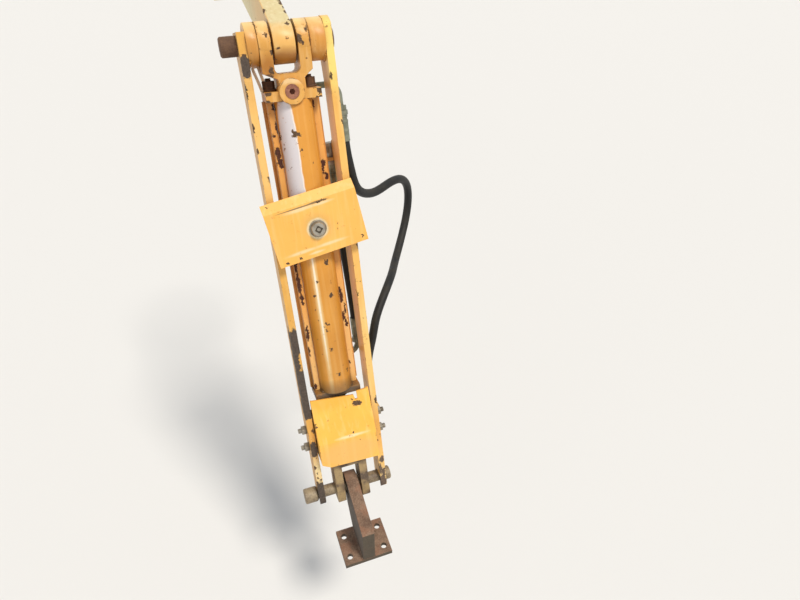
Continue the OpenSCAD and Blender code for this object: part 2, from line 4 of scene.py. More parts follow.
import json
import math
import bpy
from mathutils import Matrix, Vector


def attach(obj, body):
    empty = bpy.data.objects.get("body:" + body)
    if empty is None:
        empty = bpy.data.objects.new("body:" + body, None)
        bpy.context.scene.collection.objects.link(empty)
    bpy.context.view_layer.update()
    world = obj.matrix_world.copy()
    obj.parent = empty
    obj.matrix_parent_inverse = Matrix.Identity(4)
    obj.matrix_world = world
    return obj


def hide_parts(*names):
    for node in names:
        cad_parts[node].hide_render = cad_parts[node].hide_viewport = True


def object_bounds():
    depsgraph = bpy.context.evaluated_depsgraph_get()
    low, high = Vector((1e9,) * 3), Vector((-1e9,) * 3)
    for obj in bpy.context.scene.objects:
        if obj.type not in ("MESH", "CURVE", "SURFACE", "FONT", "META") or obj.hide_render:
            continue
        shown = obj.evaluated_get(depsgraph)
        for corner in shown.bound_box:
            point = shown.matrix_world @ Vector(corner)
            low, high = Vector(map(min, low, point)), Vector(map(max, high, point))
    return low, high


bl_info = {
    "name": "Screed lift cylinder",
    "version": (1, 0, 0),
    "blender": (4, 5, 0),
    "location": "View3D > Sidebar > Lift cylinder",
    "description": "Finishes and small pieces around the packed screed lift cylinder",
    "category": "Object",
}

import bmesh
import bpy
from bpy.props import FloatProperty, FloatVectorProperty, PointerProperty
from mathutils import Matrix, Vector

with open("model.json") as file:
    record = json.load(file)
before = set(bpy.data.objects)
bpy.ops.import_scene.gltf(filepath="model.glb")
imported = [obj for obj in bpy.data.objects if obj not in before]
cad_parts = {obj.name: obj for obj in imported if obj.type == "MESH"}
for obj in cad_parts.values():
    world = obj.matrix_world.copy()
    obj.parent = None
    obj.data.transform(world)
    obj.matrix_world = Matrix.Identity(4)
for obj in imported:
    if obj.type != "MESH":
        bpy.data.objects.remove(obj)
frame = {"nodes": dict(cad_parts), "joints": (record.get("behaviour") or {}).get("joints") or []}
CAD_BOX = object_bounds()

JOINTS = {joint["name"]: joint for joint in frame["joints"]}
TOP_PIN = Vector(JOINTS["link_swing"]["pos_m"])
LOWER_PIN = Vector(JOINTS["lug_pivot"]["pos_m"])
DOWN = (LOWER_PIN - TOP_PIN).normalized()
LEAN = math.atan2(-DOWN.y, -DOWN.z)
LINK = Matrix.Translation(TOP_PIN) @ Matrix.Rotation(-LEAN, 4, "X")
MM = 0.001
ENAMEL = "F0A93E"

# How many cells of a pattern lie in a metre, from the real width of what it draws
TONE_CLOUDS = 7.0  # 140 mm clouds of sounder and more faded film
CHIPS = 70.0  # 14 mm cells, whose peaks are chips 3 to 12 mm wide
SPECKS = 330.0  # 3 mm cells, whose peaks are stone specks 1 to 2 mm wide
FLAKES = 330.0  # 3 mm flakes at the edge of a chip
FLAKE_DRIFT = 90.0  # 11 mm cells that shake the flakes out of line
RIM_STRETCHES = 24.0  # 40 mm stretches of an edge, chipped or sound
ORANGE_PEEL = 600.0  # 1.7 mm dimples of a sprayed film
RUST_SCALE = 210.0  # 5 mm grains of scale in a chip
RUST_GRAIN = 240.0  # 4 mm grains on rolled steel
RUST_PITS = 160.0  # 6 mm pits
RUST_BLOOM = 26.0  # 40 mm dusty blooms
FRESH_RUST = 33.0  # 30 mm areas of fresh rust
PLATING_CLOUDS = 60.0  # 17 mm clouds in dull zinc
TOOL_MARKS = 700.0  # 1.4 mm, as coarse as turning marks need to be to show
HOSE_DUST = 28.0  # 36 mm clouds of dust
CLOTH_WRAP = 620.0  # 1.6 mm marks of the cloth that a hose is cured in
# Cells across and along the link
WATER_RUNS = (90.0, 90.0, 5.0)  # runs 11 mm wide and 200 mm long
STROKE_MARKS = (900.0, 900.0, 12.0)  # marks 1 mm wide and 80 mm long

# Steps in the surface, in metres
FILM_EDGE = 0.0005  # the film is 0.2 mm thick, drawn a little thicker so that its edge shows
SCALE_STEP = 0.0006
TOOL_STEP = 0.0001
WRAP_STEP = 0.0003


def linear(code):
    """An sRGB hex colour as linear RGBA."""
    channels = [int(code[i:i + 2], 16) / 255 for i in (0, 2, 4)]
    return tuple([c / 12.92 if c <= 0.04045 else ((c + 0.055) / 1.055) ** 2.4 for c in channels] + [1.0])


# ---------------------------------------------------------------- materials


def add(tree, kind, inputs=None, out=0, **settings):
    """Adds a node with its settings, its values and its links, and gives back the output asked for."""
    made = tree.nodes.new("ShaderNode" + kind)
    for name, value in settings.items():
        setattr(made, name, value)
    for name, value in (inputs or {}).items():
        if isinstance(value, bpy.types.NodeSocket):
            tree.links.new(value, made.inputs[name])
        else:
            made.inputs[name].default_value = value
    return made.outputs[out] if made.outputs else None


# a mix of two colours rather than of two numbers
BLEND = {"data_type": "RGBA", "out": "Result"}


def new_material(name):
    """An empty material with its shader and output."""
    material = bpy.data.materials.new(name)
    material.use_nodes = True
    tree = material.node_tree
    tree.nodes.clear()
    surface = add(tree, "BsdfPrincipled")
    add(tree, "OutputMaterial", {"Surface": surface})
    return material, tree, surface.node


def dress(tree, shader, colour, rough, height=None, step=0.0, strength=0.0):
    """Links a finish's colour, roughness and relief to its shader; the relief has its step in metres."""
    tree.links.new(colour, shader.inputs["Base Color"])
    tree.links.new(rough, shader.inputs["Roughness"])
    if height is not None:
        bump = add(tree, "Bump", {"Height": height, "Distance": step, "Strength": strength})
        tree.links.new(bump, shader.inputs["Normal"])


def link_place(tree):
    """The surface's place in the link's own frame, in metres."""
    place = add(tree, "TexCoord", out="Object")
    return add(tree, "Mapping", {"Vector": place, "Location": TOP_PIN, "Rotation": (-LEAN, 0, 0)},
               vector_type="TEXTURE")


def edge_mask(tree, radius):
    """Where an edge lies within the radius, from the bevelled normal."""
    soft = add(tree, "Bevel", {"Radius": radius}, samples=6)
    hard = add(tree, "NewGeometry", out="True Normal")
    along = add(tree, "VectorMath", {0: soft, 1: hard}, operation="DOT_PRODUCT", out="Value")
    return add(tree, "MapRange", {"Value": along, "From Min": 0.99, "From Max": 0.80})


def flaked(tree, place):
    """The place drawn to the middle of its flake, so that what it masks breaks off in angular flakes."""
    drift = add(tree, "TexNoise", {"Vector": place, "Scale": FLAKE_DRIFT, "Detail": 2.0}, out="Color")
    drift = add(tree, "VectorMath", {0: drift, 1: (0.5, 0.5, 0.5)}, operation="SUBTRACT")
    # up to 7 mm either way
    drift = add(tree, "VectorMath", {0: drift, 1: (0.014, 0.014, 0.014), 2: place}, operation="MULTIPLY_ADD")
    return add(tree, "TexVoronoi", {"Vector": drift, "Scale": FLAKES}, out="Position")


def patch_mask(tree, place, patches, ragged, grain=CHIPS, fade=0.06):
    """Ragged patches at given places: each is a centre and three radii, in millimetres in the link's frame,
    and for some a tilt about y in degrees. They fade out over a share of their size."""
    wobble = add(tree, "TexNoise", {"Vector": place, "Scale": grain, "Detail": 3.0})
    least = None
    for centre, radii, *tilt in patches:
        near = add(tree, "Mapping", {
            "Vector": place, "Location": [c * MM for c in centre], "Scale": [r * MM for r in radii],
            "Rotation": (0, math.radians(tilt[0] if tilt else 0), 0)}, vector_type="TEXTURE")
        far = add(tree, "VectorMath", {0: near}, operation="LENGTH", out="Value")
        if least is None:
            least = far
        else:
            least = add(tree, "Math", {0: least, 1: far}, operation="MINIMUM")
    shaken = add(tree, "Math", {0: wobble, 1: 2 * ragged, 2: least}, operation="MULTIPLY_ADD")
    return add(tree, "MapRange", {
        "Value": shaken, "From Min": 1 + fade + ragged, "From Max": 1 - fade + ragged})


def facing(tree, way, begin=0.6, full=0.9):
    """Where the surface faces a way."""
    normal = add(tree, "NewGeometry", out="True Normal")
    along = add(tree, "VectorMath", {0: normal, 1: Vector(way).normalized()},
                operation="DOT_PRODUCT", out="Value")
    return add(tree, "MapRange", {"Value": along, "From Min": begin, "From Max": full})


def worn_enamel(name, film, chips, edge=0.5, grime_and_shade=0.5, patches=(), bands=(), stripped=(), bared=None,
                rusts=("3E2C1E", "6B5138"), sides=(), upright=False):
    """Sprayed enamel on steel, years in the sun: satin yellow that chalks to a paler tone on open faces,
    chipped on its edges down to dark brown rust with a stained rim, with grime and painted shade darkening
    the corners, and painted highlights and shade where its bands and sides give them. Its film has a base, a
    deeper and a chalked colour."""
    material, tree, shader = new_material(name)
    base, deep, chalk = film
    place = link_place(tree)
    broad = add(tree, "TexNoise", {"Vector": place, "Scale": TONE_CLOUDS, "Detail": 5.0, "Roughness": 0.6})
    flake = add(tree, "TexNoise", {"Vector": place, "Scale": CHIPS, "Detail": 5.0, "Roughness": 0.55})
    speck = add(tree, "TexNoise", {"Vector": place, "Scale": SPECKS, "Detail": 2.0})
    # runs of dirty water follow the link, and are plumb on what stands still
    fall = add(tree, "TexCoord", out="Object") if upright else place
    streaked = add(tree, "Mapping", {"Vector": fall, "Scale": WATER_RUNS})
    streak = add(tree, "TexNoise", {"Vector": streaked, "Scale": 1.0, "Detail": 4.0})
    peel = add(tree, "TexNoise", {"Vector": place, "Scale": ORANGE_PEEL, "Detail": 2.0})

    tone = add(tree, "MapRange", {"Value": broad, "From Min": 0.35, "From Max": 0.65})
    colour = add(tree, "Mix", {0: tone, "A": base, "B": deep}, **BLEND)
    run = add(tree, "MapRange", {"Value": streak, "From Min": 0.5, "From Max": 0.75, "To Max": 0.45})
    colour = add(tree, "Mix", {0: run, "A": colour, "B": chalk}, **BLEND)
    # the bands are tones, dirt and worn paint of the film, and some are painted highlights and painted shade;
    # the sides are painted light and shade, lighter or darker on faces that face a given way
    tones_and_painted_light = [(patch_mask(tree, place, there, 0.12 + fade / 3, 40.0, fade), strength, code)
              for code, strength, fade, there in bands]
    tones_and_painted_light += [(facing(tree, way), strength, code) for way, code, strength in sides]
    for mask, strength, code in tones_and_painted_light:
        mask = add(tree, "Math", {0: mask, 1: strength}, operation="MULTIPLY")
        colour = add(tree, "Mix", {0: mask, "A": colour, "B": linear(code)}, **BLEND)

    # painted shade with dirt: corners found by ambient occlusion darken to a dirt brown, more so along the
    # dirty runs
    corner = add(tree, "AmbientOcclusion", {"Distance": 0.03}, samples=6, out="AO")
    corner_shade = add(tree, "MapRange", {"Value": corner, "From Min": 0.85, "From Max": 0.35})
    dirt_and_shade = add(tree, "MapRange", {"Value": streak, "From Min": 0.35, "From Max": 0.62})
    dirt_and_shade = add(tree, "Math", {0: corner_shade, 1: dirt_and_shade}, operation="MULTIPLY")
    dirt_and_shade = add(tree, "Math", {0: dirt_and_shade, 1: grime_and_shade}, operation="MULTIPLY")
    colour = add(tree, "Mix", {0: dirt_and_shade, "A": colour, "B": linear("5A4326")}, **BLEND)

    # an edge chips first, in stretches, and so does a cluster of the broad pattern
    rim = edge_mask(tree, 0.0035)
    stretch = add(tree, "TexNoise", {"Vector": place, "Scale": RIM_STRETCHES, "Detail": 2.0})
    stretch = add(tree, "MapRange", {"Value": stretch, "From Min": 0.44, "From Max": 0.58})
    rim = add(tree, "Math", {0: rim, 1: stretch}, operation="MULTIPLY")
    rim = add(tree, "Math", {0: rim, 1: 0.20 * edge}, operation="MULTIPLY")
    bare = add(tree, "Math", {0: flake, 1: rim}, operation="ADD")
    cluster = add(tree, "MapRange", {
        "Value": broad, "From Min": 0.45, "From Max": 0.7, "To Max": 0.10 * chips})
    bare = add(tree, "Math", {0: bare, 1: cluster}, operation="ADD")
    level = 0.72 - 0.04 * chips
    chipped = add(tree, "MapRange", {"Value": bare, "From Min": level, "From Max": level + 0.012})
    stained = add(tree, "MapRange", {
        "Value": bare, "From Min": level - 0.06, "From Max": level + 0.01, "To Max": 0.6})
    specks = add(tree, "MapRange", {"Value": speck, "From Min": 0.735, "From Max": 0.76})
    chipped = add(tree, "Math", {0: chipped, 1: specks}, operation="MAXIMUM")
    flakes = flaked(tree, place)
    if patches:
        chipped = add(tree, "Math", {0: chipped, 1: patch_mask(tree, flakes, patches, 0.25)},
                      operation="MAXIMUM")
    colour = add(tree, "Mix", {0: stained, "A": colour, "B": linear("B9782F")}, **BLEND)
    scale = add(tree, "TexNoise", {"Vector": place, "Scale": RUST_SCALE, "Detail": 6.0, "Roughness": 0.7})
    scale = add(tree, "MapRange", {"Value": scale, "From Min": 0.35, "From Max": 0.65})
    rust = add(tree, "Mix", {0: scale, "A": linear(rusts[0]), "B": linear(rusts[1])}, **BLEND)
    colour = add(tree, "Mix", {0: chipped, "A": colour, "B": rust}, **BLEND)
    if stripped:
        lost = patch_mask(tree, flakes, stripped, 0.45, 55.0)
        steel = add(tree, "Mix", {0: scale, "A": linear(bared[0]), "B": linear(bared[1])}, **BLEND)
        colour = add(tree, "Mix", {0: lost, "A": colour, "B": steel}, **BLEND)
        chipped = add(tree, "Math", {0: chipped, 1: lost}, operation="MAXIMUM")

    satin = add(tree, "MapRange", {"Value": streak, "To Min": 0.34, "To Max": 0.50})
    rough = add(tree, "Mix", {0: chipped, "A": satin, "B": 0.85}, out="Result")
    # the film stands above the chips, whose scale is rough
    sunk = add(tree, "Math", {0: chipped, 1: -1.0}, operation="MULTIPLY")
    height = add(tree, "Math", {0: scale, 1: chipped}, operation="MULTIPLY")
    height = add(tree, "Math", {0: height, 1: 0.5, 2: sunk}, operation="MULTIPLY_ADD")
    height = add(tree, "Math", {0: peel, 1: 0.12, 2: height}, operation="MULTIPLY_ADD")
    dress(tree, shader, colour, rough, height, FILM_EDGE, 0.7)
    return material


def rusted_steel(name, dark, light, paint=None, paint_left=0.0, rough=0.8, sides=(), blush=None):
    """Hot-rolled steel left outside: fine brown scale with lighter dusty blooms, rubbed smoother where it
    works, in places fresher and redder, and here and there what is left of its paint."""
    material, tree, shader = new_material(name)
    place = link_place(tree)
    grain = add(tree, "TexNoise", {"Vector": place, "Scale": RUST_GRAIN, "Detail": 7.0, "Roughness": 0.7})
    bloom = add(tree, "TexNoise", {"Vector": place, "Scale": RUST_BLOOM, "Detail": 5.0})
    pits = add(tree, "TexVoronoi", {"Vector": place, "Scale": RUST_PITS}, out="Distance")
    mixed = add(tree, "Math", {0: grain, 1: bloom}, operation="ADD")
    tone = add(tree, "MapRange", {"Value": mixed, "From Min": 0.8, "From Max": 1.2})
    colour = add(tree, "Mix", {0: tone, "A": linear(dark), "B": linear(light)}, **BLEND)
    if blush:
        fresh = add(tree, "TexNoise", {"Vector": place, "Scale": FRESH_RUST, "Detail": 4.0})
        fresh = add(tree, "MapRange", {"Value": fresh, "From Min": 0.48, "From Max": 0.60, "To Max": 0.38})
        colour = add(tree, "Mix", {0: fresh, "A": colour, "B": linear(blush)}, **BLEND)
    if paint:
        kept = add(tree, "MapRange", {
            "Value": bloom, "From Min": 0.58 - 0.3 * paint_left, "From Max": 0.72 - 0.3 * paint_left})
        worn = add(tree, "MapRange", {"Value": grain, "From Min": 0.62, "From Max": 0.54})
        kept = add(tree, "Math", {0: kept, 1: worn}, operation="MULTIPLY")
        colour = add(tree, "Mix", {0: kept, "A": colour, "B": linear(paint)}, **BLEND)
    # painted shade: faces that face the given ways take their own darker colours
    for way, shade_colours, strength in sides:
        mask = add(tree, "Math", {0: facing(tree, way), 1: strength}, operation="MULTIPLY")
        side = add(tree, "Mix", {0: grain, "A": linear(shade_colours[0]), "B": linear(shade_colours[1])}, **BLEND)
        colour = add(tree, "Mix", {0: mask, "A": colour, "B": side}, **BLEND)
    polished = add(tree, "MapRange", {
        "Value": edge_mask(tree, 0.002), "To Min": rough, "To Max": rough - 0.25})
    height = add(tree, "Math", {0: pits, 1: grain}, operation="ADD")
    dress(tree, shader, colour, polished, height, SCALE_STEP, 0.6)
    return material


def plated_steel(name, tint, dull, rough=0.4):
    """Zinc-plated turned steel gone dull: a soft metal sheen with faint tool marks, and oily dirt with
    painted shade in its corners."""
    material, tree, shader = new_material(name)
    place = link_place(tree)
    cloud = add(tree, "TexNoise", {"Vector": place, "Scale": PLATING_CLOUDS, "Detail": 5.0})
    fine = add(tree, "TexNoise", {"Vector": place, "Scale": TOOL_MARKS, "Detail": 2.0})
    tone = add(tree, "MapRange", {"Value": cloud, "From Min": 0.4, "From Max": 0.65})
    colour = add(tree, "Mix", {0: tone, "A": linear(tint), "B": linear(dull)}, **BLEND)
    # painted shade with oily dirt: corners found by ambient occlusion darken to a dirty brown
    corner = add(tree, "AmbientOcclusion", {"Distance": 0.012}, samples=6, out="AO")
    oil_and_shade = add(tree, "MapRange", {"Value": corner, "From Min": 0.9, "From Max": 0.4, "To Max": 0.6})
    colour = add(tree, "Mix", {0: oil_and_shade, "A": colour, "B": linear("4A3B28")}, **BLEND)
    rougher = add(tree, "MapRange", {"Value": cloud, "To Min": rough - 0.05, "To Max": rough + 0.2})
    shader.inputs["Metallic"].default_value = 0.7
    dress(tree, shader, colour, rougher, fine, TOOL_STEP, 0.4)
    return material


def chromed_rod(name):
    """Ground and hard-chromed rod: a bright bar with fine marks along its stroke and an oily film."""
    material, tree, shader = new_material(name)
    place = link_place(tree)
    drawn = add(tree, "Mapping", {"Vector": place, "Scale": STROKE_MARKS})
    marks = add(tree, "TexNoise", {"Vector": drawn, "Scale": 1.0, "Detail": 3.0})
    film = add(tree, "MapRange", {"Value": marks, "To Min": 0.12, "To Max": 0.30})
    colour = add(tree, "Mix", {0: marks, "A": linear("D9DADC"), "B": linear("B9B6B0")}, **BLEND)
    shader.inputs["Metallic"].default_value = 1.0
    dress(tree, shader, colour, film)
    return material


def hose_rubber(name):
    """Cloth-wrapped hydraulic hose rubber: near-black with a soft sheen, wrap marks and pale dust on top."""
    material, tree, shader = new_material(name)
    place = link_place(tree)
    cloud = add(tree, "TexNoise", {"Vector": place, "Scale": HOSE_DUST, "Detail": 6.0, "Roughness": 0.6})
    wrap = add(tree, "TexNoise", {"Vector": place, "Scale": CLOTH_WRAP, "Detail": 2.0})
    upward = add(tree, "SeparateXYZ", {"Vector": add(tree, "NewGeometry", out="Normal")}, out="Z")
    lying = add(tree, "MapRange", {"Value": upward, "From Min": -0.2, "From Max": 0.9, "To Max": 0.75})
    patchy = add(tree, "MapRange", {"Value": cloud, "From Min": 0.38, "From Max": 0.62})
    dust = add(tree, "Math", {0: lying, 1: patchy}, operation="MULTIPLY")
    colour = add(tree, "Mix", {0: dust, "A": linear("181818"), "B": linear("3E3A33")}, **BLEND)
    rough = add(tree, "MapRange", {"Value": dust, "To Min": 0.5, "To Max": 0.9})
    shader.inputs["Specular IOR Level"].default_value = 0.3
    dress(tree, shader, colour, rough, wrap, WRAP_STEP, 0.5)
    return material


# Where the paint has gone or changed, and where painted highlights and painted shade lie on it, in the link's
# own frame: centres and radii in millimetres. A band has its colour, its strength and the share over which it
# fades, then its patches.
BARREL_CHIPS = (
    ((-11, -43, -203), (9, 12, 7)), ((-15, -43, -196), (4, 8, 5)), ((-4, -44, -205), (4, 8, 4)),
    ((-5, -44, -240), (5, 8, 3)), ((-31, -31, -281), (3, 4, 3)), ((16, -41, -532), (6, 8, 8)),
    ((-15, -42, -581), (3, 4, 3)), ((-26, -36, -621), (4, 5, 4)), ((16, -41, -626), (6, 8, 7)),
    ((-9, -44, -702), (3, 4, 4)), ((-15, -42, -713), (3, 4, 3)), ((-9, -43, -726), (5, 8, 5)),
    ((-2, -44, -706), (3, 4, 2)), ((-34, -29, -754), (3, 4, 3)), ((-5, -44, -783), (5, 8, 6)),
    ((6, -44, -866), (5, 8, 5)), ((33, -30, -864), (4, 6, 6)), ((26, -36, -790), (2, 4, 2)),
    ((-28, -34, -660), (2, 4, 2)), ((-44, -3, -140), (6, 9, 7)), ((-43, -8, -205), (3, 8, 14)),
    ((43, -10, -147), (5, 8, 9)), ((40, -18, -632), (3, 8, 12)))
BARREL_BANDS_AND_HIGHLIGHTS = (
    # a painted highlight: a white line along the right edge of the bleached lilac band, which lies over it
    ("F3EDE4", 0.9, 0.06, (((-26.5, -30, -240), (18.5, 40, 150)), ((-27.6, -30, -350), (19.8, 40, 142)))),
    ("CFC8CA", 0.95, 0.08, (((-28.5, -30, -240), (18, 40, 148)), ((-29.4, -30, -350), (19.0, 40, 140)))),
    # a painted highlight: the sun's gloss down the barrel below the cover, white in its middle
    ("F2D89C", 0.65, 0.45, (((-19, -42, -680), (6.5, 12, 260)),)),
    ("FBF1DC", 0.80, 0.35, (((-19, -42, -640), (2.4, 12, 170)),)),
    ("6B5538", 0.85, 0.45, (((0, 0, -924), (70, 70, 32)),)),
    ("554A3E", 0.9, 0.3, (((0, 0, -942), (160, 160, 16)),)))
BEAD_BANDS = (("54473A", 0.9, 0.3, (((0, 0, -928), (90, 90, 14)),)),)
TIE_CHIPS = (
    ((-55, 0, -246), (7, 8, 15)), ((-53, 0, -272), (5, 8, 12)), ((-58, 0, -205), (3, 8, 6)),
    ((-47, 0, -140), (5, 9, 8)), ((46, 0, -143), (5, 9, 12)), ((-48, 0, -190), (3, 8, 14)),
    ((53, 0, -290), (5, 8, 13)), ((57, 0, -318), (5, 8, 9)), ((50, 0, -305), (3, 8, 9)),
    ((-58, 0, -590), (5, 8, 34)), ((-56, 0, -640), (4, 8, 20)), ((-57, 0, -740), (5, 8, 26)),
    ((-60, 0, -540), (5, 8, 24)), ((-61, 0, -800), (3, 8, 14)), ((-60, 0, -912), (5, 9, 10)),
    ((46, 0, -632), (8, 12, 9)), ((51, 0, -655), (5, 12, 20)), ((57, 0, -690), (3, 12, 16)),
    ((50, 0, -712), (5, 12, 16)), ((56, 0, -735), (3, 12, 12)), ((50, 0, -860), (3, 9, 7)))
TIE_BANDS = (("F8CC86", 0.6, 0.5, (((56, 4, -800), (18, 12, 170)), ((-56, 4, -820), (18, 12, 110)))),)
LEFT_CHIPS = (
    ((-99, -47, -22), (7, 20, 7)), ((-109, -30, -100), (5, 9, 26)), ((-108, -35, -178), (5, 5, 10)),
    ((-107, -35, -232), (4, 5, 8)), ((-90, -35, -300), (3, 5, 7)), ((-107, -35, -420), (4, 5, 12)),
    ((-92, -35, -1035), (4, 5, 9)), ((-106, -35, -1163), (4, 6, 8)), ((-103, -35, -1203), (3, 6, 5)),
    ((-107, -35, -1222), (4, 6, 9)), ((-93, -35, -1212), (2.5, 6, 4)))
LEFT_BARE = (
    ((-99, -40, -36), (16, 12, 14)), ((-99, -38, -52), (14, 12, 16)), ((-99, -30, -742), (19, 42, 42)),
    ((-104, -30, -790), (9, 42, 60)), ((-99, -30, -880), (19, 46, 64)), ((-99, -30, -955), (19, 42, 42)),
    ((-99.3, -35, -1100), (12, 7, 28)), ((-101.6, -35, -1187), (3, 5, 5)), ((-98, -30, -1270), (22, 20, 54)))
LEFT_BANDS = (
    ("D9C18F", 0.7, 0.4, (((-99, -35, -1150), (16, 8, 34)),)),
    ("EED9A4", 0.7, 0.4, (((-99, -35, -1198), (16, 10, 44)),)),
    ("FBCB7C", 0.7, 0.5, (((-99, -40, -250), (16, 14, 150)),)))
RIGHT_CHIPS = (
    ((92, -36, -82), (4, 6, 10)), ((107, -35, -190), (3, 5, 8)), ((107, -35, -505), (3, 5, 12)),
    ((90, -35, -640), (3, 5, 9)), ((105, -35, -985), (4, 5, 14)), ((91, -35, -1120), (3, 5, 16)))
RIGHT_BARE = (
    ((100.2, -35, -1202), (7, 8, 13)), ((93, -33, -1236), (6, 8, 22)), ((102, -33, -1252), (6, 8, 14)),
    ((96, -32, -1290), (13, 24, 28)))
RIGHT_BANDS = (
    ("FADD7C", 0.8, 0.4, (((99, -40, -20), (14, 40, 90)),)),
    ("F2D68C", 0.35, 0.4, (((99, -35, -825), (14, 12, 180)),)),
    ("D8BE88", 0.7, 0.4, (((99, -35, -1270), (14, 12, 50)),)))
BOSS_PAINTED_SHADE_AND_HIGHLIGHTS = (
    # painted shade on the left boss, and painted highlights on both bosses' tops
    ("C4873A", 0.6, 0.4, (((-78, -40, -14), (16, 24, 60)),)),
    ("FBDB96", 0.8, 0.7, (((78, -8, 50), (34, 40, 24)), ((-80, -8, 50), (34, 40, 24)))))
HEAD_CHIPS = (
    ((27, -44, 4), (6, 8, 12)), ((33, -44, -6), (5, 6, 5)), ((47, -43, 22), (5, 8, 6)),
    ((-45, -45, 16), (4, 6, 7)), ((-49, -36, -72), (8, 5, 9)), ((-43, -38, -58), (5, 5, 7)),
    ((-60, -36, -104), (6, 6, 9)), ((63, -36, -112), (8, 6, 7)), ((-66, -36, -124), (8, 6, 6)),
    ((52, -36, -104), (6, 6, 4)), ((-36, -45, -20), (3, 6, 6)), ((60, -36, -126), (9, 5, 3)))
COVER_CHIPS = (
    ((16, -67, -364), (16, 4, 2.6)), ((115, -66, -470), (3, 5, 4)), ((-112, -60, -360), (3, 8, 5)),
    ((-84, -66, -506), (5, 5, 2)), ((-50, -67, -502), (4, 5, 2)))
COVER_BANDS = (
    ("F6DFB4", 0.6, 0.45, (((-34, -67, -377), (34, 4, 4.5), -8.5), ((22, -67, -369), (26, 4, 3.5), -8.5),
                           ((-42, -67, -485), (36, 4, 4), -8.5), ((30, -67, -474), (40, 4, 4), -8.5),
                           ((-8, -67, -492), (18, 4, 3), -8.5))),
    ("7A6747", 0.9, 0.25, (((-26, -67, -370.5), (62, 4, 1.6), -8.5), ((12, -67, -364), (26, 4, 2.6), -8.5))),
    ("C9A964", 0.5, 0.4, (((1, -67, -428), (33, 5, 33)),)),
    ("F4E8C4", 0.9, 0.12, (((3, -67, -432), (26.5, 5, 26.5)),)))
GUARD_CHIPS = (
    ((46, -44, -974), (15, 8, 9)), ((35, -41, -960), (3, 8, 4)), ((20, -67, -1056), (3, 5, 2.5)),
    ((84, -60, -1080), (3, 10, 10)), ((-84, -50, -1010), (3, 10, 8)))
GUARD_BANDS_AND_HIGHLIGHT = (
    ("F4A93A", 0.6, 0.5, (((-30, -36, -952), (80, 14, 24)),)),
    ("EDB468", 0.7, 0.3, (((0, -68, -1118), (90, 8, 44)),)),
    # a painted highlight across the guard's front
    ("FDEBC4", 0.6, 0.5, (((14, -67, -1064), (40, 8, 4)),)))
HEAD_BANDS_SHADE_AND_HIGHLIGHTS = (
    # painted shade low on the left lug, the port boss's pale rim, and painted highlights on the lugs' tops
    ("A8691F", 0.85, 0.5, (((-50, -42, -50), (22, 18, 26)),)),
    ("EBCB98", 0.7, 0.4, (((-6, -52, -80), (28, 12, 10)),)),
    ("FADD9C", 0.8, 0.7, (((-45, -8, 50), (20, 40, 24)), ((36, -8, 50), (20, 40, 24)))))
HANGER_CHIPS = (
    ((8, -30, 38), (4, 6, 5)), ((18, 18, 62), (6, 9, 8)), ((18, 60, 85), (7, 14, 9)),
    ((17, -20, 46), (4, 7, 5)), ((19, 40, 74), (5, 7, 8)), ((-29, 30, 68), (4, 9, 9)))
HANGER_BANDS_AND_SHADE = (
    ("E0B46C", 0.8, 0.4, (((-31, 40, 40), (3, 160, 160)),)),
    ("E8B05C", 0.9, 0.8, (((-6, -50, -4), (60, 24, 48)),)),
    # painted shade under the eye
    ("A86A22", 0.9, 0.5, (((-6, -36, -36), (60, 24, 20)),)))


# ---------------------------------------------------------------- meshes

MATERIALS = {}

# The hoses' routes in the link's frame, in millimetres, as the frame's source has them
LOOP_ROUTE = (
    (131, 67, -160), (131, 67, -218), (131, 67, -276), (136, 62, -326), (147, 83, -378), (177, 123, -411),
    (225, 161, -424), (277, 186, -405), (326, 222, -403), (361, 265, -432), (374, 297, -483),
    (367, 309, -543), (342, 293, -597), (313, 262, -638), (281, 220, -670), (256, 166, -677),
    (226, 114, -687), (190, 82, -724), (156, 60, -770), (143, 60, -826), (124, 62, -880), (112, 62, -934),
    (112, 62, -994), (112, 62, -1054))
LINE_ROUTE = (
    (87, 57, -272), (87, 57, -332), (87, 57, -392), (86, 58, -470), (87, 60, -540), (90, 60, -620),
    (92, 57, -710), (92, 57, -800), (92, 57, -840))

# Other places and sizes in the link's frame, in millimetres, also from the source
BARREL_FOOT = -926
GLAND_FACE = -946
CLEVIS_TOP = -1116
PORT_TOP, PORT_FOOT = -836, -884
RIGHT_PLATE = (89.5, 107.5)
PLATE_REAR = 35.6
SHELF_LEGS = ((-1112, -1060), (-290, -238))
TIE_BOLTS = (-49, 49)
GUARD_BOLTS = (-1047, -1107)

# The bent strip's section, with eased corners
STRIP_SECTION = ((-3.5, -2.6), (-2.9, -3.2), (2.9, -3.2), (3.5, -2.6), (3.5, 2.6), (2.9, 3.2), (-2.9, 3.2),
                 (-3.5, 2.6))


def on_route(points, u):
    """A place on the smooth curve that a route's points pull."""
    i = max(0, min(int(u), len(points) - 4))
    t = u - i
    weights = ((1 - t) ** 3, 3 * t ** 3 - 6 * t ** 2 + 4, -3 * t ** 3 + 3 * t ** 2 + 3 * t + 1, t ** 3)
    return sum((Vector(points[i + k]) * weights[k] / 6 for k in range(4)), Vector())


